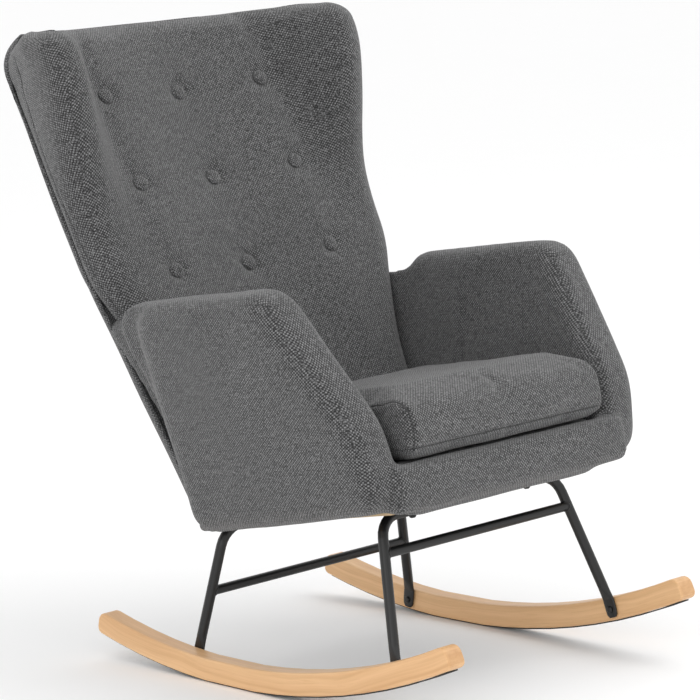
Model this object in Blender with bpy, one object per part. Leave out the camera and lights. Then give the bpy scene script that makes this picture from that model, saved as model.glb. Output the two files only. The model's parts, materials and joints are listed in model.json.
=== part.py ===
"""Upholstered wing rocking chair on two bent-tube leg frames and a pair of wooden rockers.

Everything is in metres. The chair is drawn in its own level frame, in which the rockers reach as far
forward as back; the empty "chair_lean" then leans it back to the attitude in which it stands still.
+Z is up, the chair faces -Y, and +X is its left-hand side as the sitter sees it from behind.
"""

import math

import bmesh
import bpy
from mathutils import Euler, Matrix, Vector

# ---- clearances ----
GAP = 0.0003                # between two pieces that touch
CUSHION_PLAY = 0.003        # round the loose cushion
BOLT_PLAY = 0.0004          # radius of a hole minus radius of its bolt

# ---- rockers ----
ARC_RADIUS = 1.279          # from the centre of the arc to the floor side of the strip
ARC_HALF_ANGLE = math.radians(19.0)
ROCKER_DEPTH = 0.036        # section height
ROCKER_THICKNESS = 0.032
TRACK_WIDTH = 0.521         # over the rockers' outer faces
STRIP_THICKNESS = 0.002
STRIP_INSET = 0.005         # strip edge to rocker side
STRIP_END_INSET = 0.016     # strip end to rocker tip
TIP_TOP_ROUND = 0.015
TIP_FLOOR_ROUND = 0.010
REST_LEAN = math.radians(4.2)
REST_FLAT = math.radians(5.2)   # the arc's one flat, on which the chair stands
ARC_STEP = math.radians(2.4)
STANDING_SHIFT = 0.02485     # brings the middle of the leaning chair's length over the origin

# ---- leg frames ----
TUBE_RADIUS = 0.008
TUBE_BEND = 0.038
FOOT_HALF_WIDTH = 0.0115
FOOT_HALF_THICKNESS = 0.0026
FOOT_BELOW_BOLT = 0.013
FOOT_ABOVE_BOLT = 0.016
FOOT_TAPER = 0.022
STRETCHER_RADIUS = 0.0075
FRONT_FOOT_ANGLE = math.radians(-12.1)
REAR_FOOT_ANGLE = math.radians(9.26)
FRONT_RAKE = math.radians(12.5)
REAR_RAKE = math.radians(-14.5)
FRONT_SPLAY = math.radians(11.9)
REAR_SPLAY = math.radians(12.3)
FRONT_STRETCHER_RISE = 0.172    # from the foot bolt, along the frame
REAR_STRETCHER_RISE = 0.107

# ---- fasteners ----
BOLT_RADIUS = 0.003
BOLT_HEAD_RADIUS = 0.0055
BOLT_HEAD_HEIGHT = 0.0033
INSERT_RADIUS = 0.005
INSERT_LENGTH = 0.015
INSERT_GRIP = 0.011         # bolt length inside the insert
FRAME_BOLT_SPREAD = 0.120   # frame bolts each side of the middle
TEE_FLANGE_RADIUS = 0.009
TEE_FLANGE_THICKNESS = 0.0015
TEE_BARREL_RADIUS = 0.0042
TEE_BARREL_LENGTH = 0.009

# ---- seat frame ----
SEAT_PITCH = math.radians(4.5)
SEAT_HEIGHT = 0.2602        # underside of the rails, above the arc's lowest point
RAIL_THICKNESS = 0.022
SEAT_FRONT = -0.296
SEAT_REAR = 0.164
SIDE_RAIL_INNER = 0.178
SIDE_RAIL_REAR_OUTER = 0.215
RAIL_SHOULDER = 0.080       # where the side rails leave the arm boards and narrow to the rear
COVER_HALF_WIDTH = 0.2055
FRONT_RAIL_WIDTH = 0.034
REAR_RAIL_WIDTH = 0.094
SLAT_WIDTH = 0.060
WEB_WIDTH = 0.052
WEB_THICKNESS = 0.0016
WEB_SPACING = 0.065
WEB_LANDING = 0.018         # how far the webbing reaches over the rear rail
COVER_THICKNESS = 0.001
DECK_TOP = 0.070
DECK_HALF_WIDTH = 0.2030
APRON_HALF_WIDTH = 0.2095
APRON_DEPTH = 0.036
APRON_DROP = 0.001
REAR_BASE_DEPTH = 0.010     # the padded band behind the rear rail
REAR_BASE_HALF_WIDTH = 0.205

# ---- seat cushion ----
CUSHION_BOTTOM = 0.0730
CUSHION_TOP = 0.166
CUSHION_FRONT_HALF_WIDTH = 0.2095
CUSHION_REAR_HALF_WIDTH = 0.2240
CUSHION_FRONT = -0.342
CUSHION_ROUND = 0.016
CUSHION_LOW_ROUND = 0.012
CUSHION_NOSE_ROUND = 0.042

# ---- arms ----
ARM_FLARE = math.radians(8.5)
ARM_TOE = math.radians(3.0)    # how far the arms turn in towards the front
ARM_CORE_X = 0.2525         # middle of the arm board at the bottom
ARM_PIVOT_Z = 0.270
ARM_CORE_THICKNESS = 0.015
ARM_PAD_THICKNESS = 0.030
ARM_PAD_ROUND = 0.027
ARM_CORE_INSET = 0.014
ARM_FRONT = -0.318
ARM_FRONT_LIFT = 0.006      # of the front lower corner above the rails' underside
ARM_CREST_Y = -0.164
ARM_CREST_Z = 0.624
ARM_SWEEP_Z = 0.415
ARM_REAR_TOP_Z = 0.606
ARM_REAR_TOP_Y = 0.132
ARM_REAR_LOW_Y = 0.100
INNER_PAD_BACK_GAP = 0.003  # the inner pad leans with the arm, so it needs a little more room

# ---- back ----
BACK_RECLINE = math.radians(24.5)
BACK_FOOT_Y = 0.0607        # front face of the back, where it is BACK_FOOT_Z high
BACK_FOOT_Z = 0.300
BACK_TOP = 0.808            # up the front face to the level top edge
BACK_OVER_WEBS = 0.0036     # room under the back pads for the webbing and the nuts
BACK_LOW_HALF_WIDTH = 0.2400
BACK_HIGH_HALF_WIDTH = 0.3020
BACK_SHOULDER = 0.50        # height up the back where its sides stop flaring
BACK_HOLLOW = 0.020         # how far the middle of the front face lies behind its sides
BOARD_FRONT = 0.040
BOARD_THICKNESS = 0.012
BOARD_INSET = 0.0075         # board edge to the side of the back
BACK_DEPTH_LOW = 0.112
BACK_DEPTH_HIGH = 0.074
BACK_TOP_ROUND = 0.022
BACK_SIDE_ROUND = 0.034     # of the back's side corners, across both pads
REAR_CROWN = 0.010          # how much the rear panel bulges

# ---- wings ----
WING_INNER = 0.2475
WING_OUTER = 0.3250
WING_BOARD_X = 0.2820
WING_BOARD_THICKNESS = 0.012
WING_REACH = 0.116          # in front of the back's front face
WING_START = 0.47
WING_PEAK = 0.700
WING_ROUND = 0.034
WING_INSET = 0.026

# ---- buttons ----
BUTTON_RADIUS = 0.0128
BUTTON_THICKNESS = 0.0065
BUTTON_DEPTH = 0.009        # how deep the tuft is drawn in
BUTTON_COLUMN = 0.162
BUTTON_ROWS = (0.378, 0.532, 0.688)

ROUND_SIDES = 20
TUBE_SIDES = 20

for leftover in list(bpy.data.objects):
    bpy.data.objects.remove(leftover, do_unlink=True)


# ---------------------------------------------------------------- materials
def material(name, colour, roughness, metallic=0.0):
    """A Principled material of one colour."""
    made = bpy.data.materials.new(name)
    made.use_nodes = True
    shader = made.node_tree.nodes["Principled BSDF"]
    shader.inputs["Base Color"].default_value = (*colour, 1.0)
    shader.inputs["Roughness"].default_value = roughness
    shader.inputs["Metallic"].default_value = metallic
    return made


LINEN = material("grey_linen", (0.105, 0.105, 0.108), 0.9)
FOAM = material("upholstery_pad", (0.125, 0.125, 0.128), 0.95)
OAK = material("rocker_wood", (0.60, 0.40, 0.22), 0.45)
TIMBER = material("frame_timber", (0.55, 0.42, 0.28), 0.7)
STEEL = material("black_steel", (0.012, 0.012, 0.013), 0.38, 0.6)
ZINC = material("zinc_plate", (0.62, 0.62, 0.6), 0.35, 1.0)
RUBBER = material("strip_rubber", (0.02, 0.02, 0.02), 0.8)
WEBBING = material("elastic_webbing", (0.16, 0.13, 0.10), 0.9)
LINING = material("dust_lining", (0.015, 0.015, 0.016), 0.95)


# ---------------------------------------------------------------- frames of reference
def empty(name, origin, parent=None, turn=(0.0, 0.0, 0.0)):
    """A named set of axes, turned about X, Y and Z in that order."""
    made = bpy.data.objects.new(name, None)
    bpy.context.scene.collection.objects.link(made)
    made.location = origin
    made.rotation_euler = turn
    made.parent = parent
    return made


arc_centre_height = ARC_RADIUS * math.cos(REST_FLAT / 2)
lean = empty("chair_lean", (0.0, STANDING_SHIFT, arc_centre_height), turn=(-REST_LEAN, 0.0, 0.0))
level = empty("level_axes", (0.0, 0.0, -ARC_RADIUS), lean)
seat = empty("seat_axes", (0.0, 0.0, SEAT_HEIGHT), level, (-SEAT_PITCH, 0.0, 0.0))
back = empty("back_axes", (0.0, BACK_FOOT_Y, BACK_FOOT_Z), level, (-BACK_RECLINE, 0.0, 0.0))
arm_axes = {
    side: empty(f"arm_axes_{side}", (sign * ARM_CORE_X, 0.0, ARM_PIVOT_Z), level,
                (0.0, sign * ARM_FLARE, -sign * ARM_TOE))
    for side, sign in (("right", -1), ("left", 1))
}
SIDES = (("right", -1), ("left", 1))


# ---------------------------------------------------------------- mesh helpers
def add(name, rings, parent, finish, hidden=False, smooth=35.0):
    """A closed solid lofted through rings of equally many points, with flat caps."""
    mesh = bpy.data.meshes.new(name)
    work = bmesh.new()
    loops = [[work.verts.new(point) for point in ring] for ring in rings]
    count = len(rings[0])
    for low, high in zip(loops, loops[1:]):
        for i in range(count):
            j = (i + 1) % count
            work.faces.new((low[i], low[j], high[j], high[i]))
    work.faces.new(list(reversed(loops[0])))
    work.faces.new(loops[-1])
    bmesh.ops.recalc_face_normals(work, faces=work.faces)
    work.to_mesh(mesh)
    work.free()
    made = bpy.data.objects.new(name, mesh)
    bpy.context.scene.collection.objects.link(made)
    made.parent = parent
    made.data.materials.append(finish)
    if smooth:
        mesh.shade_smooth()
        mesh.set_sharp_from_angle(angle=math.radians(smooth))
    if hidden:
        made.hide_render = True
        made.display_type = "WIRE"
    return made


def box(name, low, high, parent, finish, hidden=False):
    """A block between two corners."""
    corners = [(low[0], low[1]), (high[0], low[1]), (high[0], high[1]), (low[0], high[1])]
    rings = [[(x, y, z) for x, y in corners] for z in (low[2], high[2])]
    return add(name, rings, parent, finish, hidden, smooth=0)


def turned(name, profile, parent, finish, place, hidden=False, sides=ROUND_SIDES):
    """A solid turned about the local Z of place, from (radius, height) points, bottom first."""
    rings = []
    for radius, height in profile:
        ring = []
        for i in range(sides):
            angle = 2 * math.pi * i / sides
            ring.append(place @ Vector((radius * math.cos(angle), radius * math.sin(angle), height)))
        rings.append(ring)
    return add(name, rings, parent, finish, hidden)


def cut(target, cutter):
    """Takes the cutter's volume out of the target."""
    modifier = target.modifiers.new(f"cut_{cutter.name}", "BOOLEAN")
    modifier.operation = "DIFFERENCE"
    modifier.solver = "EXACT"
    modifier.object = cutter


def filleted(corners, steps=5):
    """The outline through (a, b, radius) corners, each rounded to its radius."""
    points = []
    count = len(corners)
    for i, (a, b, radius) in enumerate(corners):
        here = Vector((a, b))
        before = Vector(corners[i - 1][:2]) - here
        after = Vector(corners[(i + 1) % count][:2]) - here
        if radius <= 0:
            points.append(here)
            continue
        before.normalize()
        after.normalize()
        half = before.angle(after) / 2
        reach = radius / math.tan(half)
        middle = here + (before + after).normalized() * (radius / math.sin(half))
        start = here + before * reach - middle
        sweep = (here + after * reach - middle).angle_signed(start)
        for k in range(steps + 1):
            turn = Matrix.Rotation(sweep * k / steps, 2)
            points.append(middle + turn @ start)
    return points


def inset(points, distance):
    """The outline moved inwards by distance. It runs anticlockwise."""
    if distance == 0:
        return points
    moved = []
    count = len(points)
    for i, here in enumerate(points):
        before = (here - points[i - 1]).normalized()
        after = (points[(i + 1) % count] - here).normalized()
        normal_a = Vector((-before.y, before.x))
        normal_b = Vector((-after.y, after.x))
        bisector = normal_a + normal_b
        moved.append(here + bisector * (2 * distance / bisector.length_squared))
    return moved


def anticlockwise(points):
    """The outline, turned round if it runs clockwise."""
    area = sum(points[i - 1].cross(points[i]) for i in range(len(points)))
    return points if area > 0 else list(reversed(points))


def padded_slab(name, outline, start, end, parent, finish, rounds=(0.0, 0.0), steps=3, hidden=False):
    """An outline in (Y, Z) carried along X from start to end, with its edges rounded at each end."""
    outline = anticlockwise(outline)
    direction = 1 if end > start else -1
    stations = []
    for k in range(steps + 1 if rounds[0] else 1):
        angle = math.pi / 2 * k / steps
        stations.append((start + direction * rounds[0] * (1 - math.sin(angle)) * 1.0,
                         rounds[0] * (1 - math.cos(angle))))
    stations.sort(key=lambda pair: direction * pair[0])
    if not rounds[0]:
        stations = [(start, 0.0)]
    far = []
    for k in range(steps + 1 if rounds[1] else 1):
        angle = math.pi / 2 * k / steps
        far.append((end - direction * rounds[1] * (1 - math.sin(angle)),
                    rounds[1] * (1 - math.cos(angle))))
    if not rounds[1]:
        far = [(end, 0.0)]
    stations += far
    rings = [[(x, p.x, p.y) for p in inset(outline, shrink)] for x, shrink in stations]
    return add(name, rings, parent, finish, hidden)


# ---------------------------------------------------------------- rockers and strips
def arc_point(angle, radius):
    """(Y, Z) in the level frame, angle from straight down, positive to the rear."""
    return Vector((radius * math.sin(angle), ARC_RADIUS - radius * math.cos(angle)))


def arc_angles(reach):
    """Angles from front to rear, with the flat where the chair stands between two of them."""
    front_edge = REST_LEAN - REST_FLAT / 2
    rear_edge = REST_LEAN + REST_FLAT / 2
    front_count = round((reach + front_edge) / ARC_STEP)
    rear_count = round((reach - rear_edge) / ARC_STEP)
    front = [-reach + (front_edge + reach) * i / front_count for i in range(front_count)]
    rear = [reach - (reach - rear_edge) * i / rear_count for i in range(rear_count)]
    return front + [front_edge, rear_edge] + list(reversed(rear))


WOOD_FLOOR_RADIUS = ARC_RADIUS - STRIP_THICKNESS - GAP
WOOD_TOP_RADIUS = WOOD_FLOOR_RADIUS - ROCKER_DEPTH
WOOD_MIDDLE_RADIUS = (WOOD_FLOOR_RADIUS + WOOD_TOP_RADIUS) / 2
ROCKER_INNER_X = TRACK_WIDTH / 2 - ROCKER_THICKNESS


ARC_GRID = arc_angles(ARC_HALF_ANGLE)


def rounded_tip(sign, steps=4):
    """The rocker's end, from its floor side round to its top side."""
    along = Vector((math.cos(ARC_HALF_ANGLE), sign * math.sin(ARC_HALF_ANGLE))) * sign
    upward = Vector((-sign * math.sin(ARC_HALF_ANGLE), math.cos(ARC_HALF_ANGLE)))
    floor_corner = arc_point(sign * ARC_HALF_ANGLE, WOOD_FLOOR_RADIUS)
    top_corner = arc_point(sign * ARC_HALF_ANGLE, WOOD_TOP_RADIUS)
    tip = []
    for k in range(steps + 1):
        angle = math.pi / 2 * k / steps
        tip.append(floor_corner + along * (math.sin(angle) - 1) * TIP_FLOOR_ROUND
                   + upward * (1 - math.cos(angle)) * TIP_FLOOR_ROUND)
    for k in range(steps + 1):
        angle = math.pi / 2 * k / steps
        tip.append(top_corner + along * (math.cos(angle) - 1) * TIP_TOP_ROUND
                   + upward * (math.sin(angle) - 1) * TIP_TOP_ROUND)
    return tip


def rocker_outline():
    """Side view of a rocker: along the floor to the rear, round the tip and back over the top."""
    short = ARC_HALF_ANGLE - (TIP_TOP_ROUND + 0.01) / ARC_RADIUS
    inner = [a for a in ARC_GRID if abs(a) < short]
    floor_side = [arc_point(a, WOOD_FLOOR_RADIUS) for a in inner]
    top_side = [arc_point(a, WOOD_TOP_RADIUS) for a in reversed(inner)]
    return floor_side + rounded_tip(1) + top_side + list(reversed(rounded_tip(-1)))


def strip_outline():
    """Side view of an anti-slip strip under a rocker."""
    reach = ARC_HALF_ANGLE - STRIP_END_INSET / ARC_RADIUS
    angles = [-reach] + [a for a in ARC_GRID if abs(a) < reach - 0.01] + [reach]
    lower = [arc_point(a, ARC_RADIUS) for a in angles]
    upper = [arc_point(a, ARC_RADIUS - STRIP_THICKNESS) for a in reversed(angles)]
    return lower + upper


FEET = {
    "front": (FRONT_FOOT_ANGLE, FRONT_RAKE, FRONT_SPLAY, FRONT_STRETCHER_RISE),
    "rear": (REAR_FOOT_ANGLE, REAR_RAKE, REAR_SPLAY, REAR_STRETCHER_RISE),
}


def sideways(x, point, sign):
    """A place whose local Z points inwards along X, at (x, point) on the side of sign."""
    turn = Matrix.Rotation(-sign * math.pi / 2, 4, "Y")
    return Matrix.Translation((sign * x, point.x, point.y)) @ turn


rockers = {}
for side, sign in SIDES:
    outer = TRACK_WIDTH / 2
    rockers[side] = padded_slab(f"rocker_{side}", rocker_outline(), sign * ROCKER_INNER_X,
                                sign * outer, level, OAK, (0.003, 0.003), 2)
    padded_slab(f"rocker_strip_{side}", strip_outline(), sign * (ROCKER_INNER_X + STRIP_INSET),
                sign * (outer - STRIP_INSET), level, RUBBER)

for end, (angle, rake, splay, rise) in FEET.items():
    foot = arc_point(angle, WOOD_MIDDLE_RADIUS)
    bore = INSERT_RADIUS + GAP
    face = ROCKER_INNER_X
    for side, sign in SIDES:
        deep = sideways(face + INSERT_LENGTH + GAP, foot, sign)
        length = INSERT_LENGTH + 2 * GAP + 0.01
        cutter = turned(f"cut_insert_{end}_{side}", [(bore, 0), (bore, length)], level, OAK, deep, True)
        cut(rockers[side], cutter)
        base = sideways(face + INSERT_LENGTH, foot, sign)
        sleeve = turned(f"rocker_insert_{end}_{side}",
                        [(INSERT_RADIUS, 0), (INSERT_RADIUS, INSERT_LENGTH)],
                        level, ZINC, base)
        thread = sideways(face + INSERT_GRIP + GAP, foot, sign)
        hole = BOLT_RADIUS + GAP
        bore_cutter = turned(f"cut_thread_{end}_{side}", [(hole, 0), (hole, INSERT_GRIP + 0.01)],
                             level, ZINC, thread, True)
        cut(sleeve, bore_cutter)
        grip = face + INSERT_GRIP
        stem = INSERT_GRIP + GAP + 2 * FOOT_HALF_THICKNESS + GAP
        head = stem + BOLT_HEAD_HEIGHT
        start = sideways(grip, foot, sign)
        turned(f"rocker_bolt_{end}_{side}",
               [(BOLT_RADIUS, 0), (BOLT_RADIUS, stem), (BOLT_HEAD_RADIUS, stem),
                (BOLT_HEAD_RADIUS, stem + 0.0010), (BOLT_HEAD_RADIUS * 0.82, head - 0.0006),
                (BOLT_HEAD_RADIUS * 0.55, head)],
               level, STEEL, start)


# ---------------------------------------------------------------- leg frames and stretchers
def frame_place(rake, foot):
    """Axes in a leg frame's plane: X across, Y up the frame, Z square to it."""
    up = Vector((0.0, math.tan(rake), 1.0)).normalized()
    across = Vector((1.0, 0.0, 0.0))
    square = across.cross(up)
    place = Matrix.Identity(4)
    for column, axis in enumerate((across, up, square)):
        for row in range(3):
            place[row][column] = axis[row]
    place.translation = Vector((0.0, foot.x, foot.y))
    return place


def height_below_seat(rake, foot, drop):
    """How far up a leg frame its line comes within drop of the seat frame's underside."""
    up = Vector((math.tan(rake), 1.0)).normalized()
    normal = Vector((math.sin(SEAT_PITCH), math.cos(SEAT_PITCH)))
    start = normal.dot(foot - Vector((0.0, SEAT_HEIGHT)))
    return (-drop - start) / normal.dot(up)


FOOT_X = ROCKER_INNER_X - GAP - FOOT_HALF_THICKNESS
BAR_DROP = TUBE_RADIUS + COVER_THICKNESS + 2 * GAP


def leg_stations(splay, top):
    """(x, height, direction angle from up, half width across, half width square) along the right leg."""
    stations = [(FOOT_X, -FOOT_BELOW_BOLT, 0.0, FOOT_HALF_THICKNESS, FOOT_HALF_WIDTH * 0.55)]
    stations.append((FOOT_X, -FOOT_BELOW_BOLT * 0.66, 0.0, FOOT_HALF_THICKNESS, FOOT_HALF_WIDTH * 0.9))
    stations.append((FOOT_X, 0.0, 0.0, FOOT_HALF_THICKNESS, FOOT_HALF_WIDTH))
    stations.append((FOOT_X, FOOT_ABOVE_BOLT, 0.0, FOOT_HALF_THICKNESS, FOOT_HALF_WIDTH))
    swell = FOOT_ABOVE_BOLT + FOOT_TAPER
    leg_foot = FOOT_X - (TUBE_RADIUS - FOOT_HALF_THICKNESS) * 0.8
    stations.append((leg_foot, swell, splay, TUBE_RADIUS, TUBE_RADIUS))
    turn = math.pi / 2 - splay
    tangent = TUBE_BEND * math.tan(turn / 2)
    corner_x = leg_foot - (top - swell) * math.tan(splay)
    start = Vector((corner_x, top)) - Vector((-math.sin(splay), math.cos(splay))) * tangent
    centre = start + Vector((-math.cos(splay), -math.sin(splay))) * TUBE_BEND
    for k in range(7):
        angle = splay + turn * k / 6
        point = centre + Vector((math.cos(angle), math.sin(angle))) * TUBE_BEND
        stations.append((point.x, point.y, angle, TUBE_RADIUS, TUBE_RADIUS))
    return stations, leg_foot


def station_ring(place, x, height, angle, across, square, sides=TUBE_SIDES):
    """One oval ring, square to a direction that leans inwards from up by angle."""
    outward = Vector((math.cos(angle), math.sin(angle), 0.0))
    ring = []
    for i in range(sides):
        turn = 2 * math.pi * (i + 0.5) / sides
        flat = min(1.0, across / square) if square else 1.0
        power = 1.0 if flat > 0.9 else 0.72
        c = math.copysign(abs(math.cos(turn)) ** power, math.cos(turn))
        s = math.copysign(abs(math.sin(turn)) ** power, math.sin(turn))
        local = Vector((x, height, 0.0)) + outward * across * c + Vector((0, 0, 1)) * square * s
        ring.append(place @ local)
    return ring


def upright(place_matrix, x, y, z):
    """A place in the seat's axes with its local Z up."""
    return place_matrix @ Matrix.Translation((x, y, z))


frame_bolt_lines = []
for end, (angle, rake, splay, rise) in FEET.items():
    foot = arc_point(angle, WOOD_MIDDLE_RADIUS)
    place = frame_place(rake, foot)
    top = height_below_seat(rake, foot, BAR_DROP)
    stations, leg_foot = leg_stations(splay, top)
    rings = [station_ring(place, *station) for station in stations]
    for x, height, tilt, across, square in reversed(stations):
        mirrored = station_ring(place, x, height, tilt, across, square)
        rings.append([Vector((-p.x, p.y, p.z)) for p in mirrored])
    legs = add(f"{end}_leg_frame", rings, level, STEEL)
    for side, sign in SIDES:
        hole = BOLT_RADIUS + BOLT_PLAY
        cutter = turned(f"cut_foot_{end}_{side}", [(hole, 0), (hole, 0.03)], level, STEEL,
                        sideways(ROCKER_INNER_X + 0.01, foot, sign), True)
        cut(legs, cutter)

    half = leg_foot - (rise - FOOT_ABOVE_BOLT - FOOT_TAPER) * math.tan(splay)
    turn = 2 * math.pi / TUBE_SIDES
    stretcher_rings = []
    for x in (-half, half):
        stretcher_rings.append([
            place @ Vector((x, rise + STRETCHER_RADIUS * math.cos(turn * i),
                            STRETCHER_RADIUS * math.sin(turn * i)))
            for i in range(TUBE_SIDES)
        ])
    stretcher = add(f"{end}_stretcher", stretcher_rings, level, STEEL)
    for side, sign in SIDES:
        cope = TUBE_RADIUS / math.cos(math.pi / TUBE_SIDES) + GAP
        rings = []
        for reach in (-0.03, 0.03):
            centre = Vector((half - math.sin(splay) * reach, rise + math.cos(splay) * reach, 0.0))
            outward = Vector((math.cos(splay), math.sin(splay), 0.0))
            ring = []
            for i in range(TUBE_SIDES):
                a = 2 * math.pi * (i + 0.5) / TUBE_SIDES
                p = centre + outward * cope * math.cos(a) + Vector((0, 0, 1)) * cope * math.sin(a)
                p = place @ p
                ring.append(Vector((sign * p.x, p.y, p.z)))
            rings.append(ring)
        cutter = add(f"cut_cope_{end}_{side}", rings, level, STEEL, True)
        cut(stretcher, cutter)

    bar = place @ Vector((0.0, top, 0.0))
    offset = Vector((bar.y, bar.z - SEAT_HEIGHT))
    bar_y = offset.x * math.cos(SEAT_PITCH) - offset.y * math.sin(SEAT_PITCH)
    frame_bolt_lines.append((end, legs, bar_y))


# ---------------------------------------------------------------- seat frame
HALF_SLAT = SIDE_RAIL_INNER - GAP
FRONT_BAR_Y = frame_bolt_lines[0][2]



def arm_board_face(y, z, sign):
    """X of an arm board's inner face, at a place in the seat's axes."""
    level_y = y * math.cos(SEAT_PITCH) + z * math.sin(SEAT_PITCH)
    level_z = SEAT_HEIGHT - y * math.sin(SEAT_PITCH) + z * math.cos(SEAT_PITCH)
    turn = Euler((0.0, sign * ARM_FLARE, -sign * ARM_TOE)).to_matrix()
    normal = turn @ Vector((1.0, 0.0, 0.0))
    on_face = Vector((sign * ARM_CORE_X, 0.0, ARM_PIVOT_Z)) - normal * sign * ARM_CORE_THICKNESS / 2
    drop = normal.y * (level_y - on_face.y) + normal.z * (level_z - on_face.z)
    return on_face.x - drop / normal.x


for side, sign in SIDES:
    inner_x = sign * SIDE_RAIL_INNER
    rings = []
    for z in (0.0, RAIL_THICKNESS):
        front_x = arm_board_face(SEAT_FRONT, z, sign) - sign * GAP
        widest_x = arm_board_face(RAIL_SHOULDER, z, sign) - sign * GAP
        rings.append([(inner_x, SEAT_FRONT, z), (front_x, SEAT_FRONT, z), (widest_x, RAIL_SHOULDER, z),
                      (sign * SIDE_RAIL_REAR_OUTER, SEAT_REAR, z), (inner_x, SEAT_REAR, z)])
    add(f"seat_side_rail_{side}", rings, seat, TIMBER, smooth=0)
box("seat_front_rail", (-HALF_SLAT, SEAT_FRONT, 0),
    (HALF_SLAT, SEAT_FRONT + FRONT_RAIL_WIDTH, RAIL_THICKNESS), seat, TIMBER)
rear_rail = box("seat_rear_rail", (-HALF_SLAT, SEAT_REAR - REAR_RAIL_WIDTH, 0),
                (HALF_SLAT, SEAT_REAR, RAIL_THICKNESS), seat, TIMBER)
leg_slat = box("seat_leg_slat", (-HALF_SLAT, FRONT_BAR_Y - SLAT_WIDTH / 2, 0),
               (HALF_SLAT, FRONT_BAR_Y + SLAT_WIDTH / 2, RAIL_THICKNESS), seat, TIMBER)
dust_cover = box("dust_cover", (-COVER_HALF_WIDTH, SEAT_FRONT + 0.004, -GAP - COVER_THICKNESS),
                 (COVER_HALF_WIDTH, SEAT_REAR - 0.002, -GAP), seat, LINING)

for (end, legs, bar_y), timber in zip(frame_bolt_lines, (leg_slat, rear_rail)):
    for side, sign in SIDES:
        x = sign * FRAME_BOLT_SPREAD
        hole = BOLT_RADIUS + BOLT_PLAY
        under_bar = -GAP * 2 - COVER_THICKNESS - 2 * TUBE_RADIUS
        shaft = turned(f"cut_frame_{end}_{side}", [(hole, under_bar - 0.01), (hole, RAIL_THICKNESS / 2)],
                       seat, STEEL, upright(Matrix.Identity(4), x, bar_y, 0), True)
        cut(legs, shaft)
        cut(dust_cover, shaft)
        barrel_bottom = RAIL_THICKNESS + GAP - TEE_BARREL_LENGTH
        wide = TEE_BARREL_RADIUS + GAP
        pocket = turned(f"cut_tee_{end}_{side}",
                        [(hole, -0.01), (hole, barrel_bottom - GAP), (wide, barrel_bottom - GAP),
                         (wide, RAIL_THICKNESS + 0.01)],
                        seat, TIMBER, upright(Matrix.Identity(4), x, bar_y, 0), True)
        cut(timber, pocket)
        tee = turned(f"tee_nut_{end}_{side}",
                     [(TEE_BARREL_RADIUS, barrel_bottom), (TEE_BARREL_RADIUS, RAIL_THICKNESS + GAP),
                      (TEE_FLANGE_RADIUS, RAIL_THICKNESS + GAP),
                      (TEE_FLANGE_RADIUS, RAIL_THICKNESS + GAP + TEE_FLANGE_THICKNESS)],
                     seat, ZINC, upright(Matrix.Identity(4), x, bar_y, 0))
        bore = turned(f"cut_tee_bore_{end}_{side}",
                      [(BOLT_RADIUS + GAP, barrel_bottom - 0.01), (BOLT_RADIUS + GAP, RAIL_THICKNESS + 0.02)],
                      seat, ZINC, upright(Matrix.Identity(4), x, bar_y, 0), True)
        cut(tee, bore)
        seat_face = under_bar - GAP
        turned(f"frame_bolt_{end}_{side}",
               [(BOLT_HEAD_RADIUS * 0.6, seat_face - BOLT_HEAD_HEIGHT),
                (BOLT_HEAD_RADIUS, seat_face - BOLT_HEAD_HEIGHT * 0.4),
                (BOLT_HEAD_RADIUS, seat_face), (BOLT_RADIUS, seat_face),
                (BOLT_RADIUS, RAIL_THICKNESS + TEE_FLANGE_THICKNESS / 2)],
               seat, STEEL, upright(Matrix.Identity(4), x, bar_y, 0))

WEB_LOW = RAIL_THICKNESS + GAP
WEB_REAR = SEAT_REAR - REAR_RAIL_WIDTH + WEB_LANDING
for number, offset in enumerate((-1, 0, 1), start=1):
    middle = offset * WEB_SPACING
    box(f"seat_web_{number}", (middle - WEB_WIDTH / 2, SEAT_FRONT + 0.004, WEB_LOW),
        (middle + WEB_WIDTH / 2, WEB_REAR, WEB_LOW + WEB_THICKNESS), seat, WEBBING)

DECK_LOW = RAIL_THICKNESS + 2 * GAP + TEE_FLANGE_THICKNESS + 0.0008


def back_face_y(height, offset=0.0):
    """Y in the seat's axes of the back's front face, at a height above the rails' underside."""
    foot = Vector((BACK_FOOT_Y, BACK_FOOT_Z - SEAT_HEIGHT))
    foot_y = foot.x * math.cos(SEAT_PITCH) - foot.y * math.sin(SEAT_PITCH)
    foot_z = foot.x * math.sin(SEAT_PITCH) + foot.y * math.cos(SEAT_PITCH)
    lean_back = BACK_RECLINE - SEAT_PITCH
    return foot_y + (height - foot_z) * math.tan(lean_back) + offset


DECK_REAR = back_face_y(DECK_LOW) - 0.006
deck = filleted([(SEAT_FRONT, DECK_LOW, 0), (DECK_REAR, DECK_LOW, 0), (DECK_REAR, DECK_TOP, 0.006),
                 (SEAT_FRONT, DECK_TOP, 0.006)], 2)
padded_slab("seat_deck_pad", deck, -DECK_HALF_WIDTH, DECK_HALF_WIDTH, seat, FOAM)
apron = filleted([(SEAT_FRONT - GAP, -APRON_DROP, 0), (SEAT_FRONT - GAP, DECK_TOP - 0.001, 0),
                  (SEAT_FRONT - APRON_DEPTH, DECK_TOP - 0.001, 0.018),
                  (SEAT_FRONT - APRON_DEPTH, -APRON_DROP, 0.018)], 4)
padded_slab("front_apron_pad", apron, -APRON_HALF_WIDTH, APRON_HALF_WIDTH, seat, LINEN)

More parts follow.
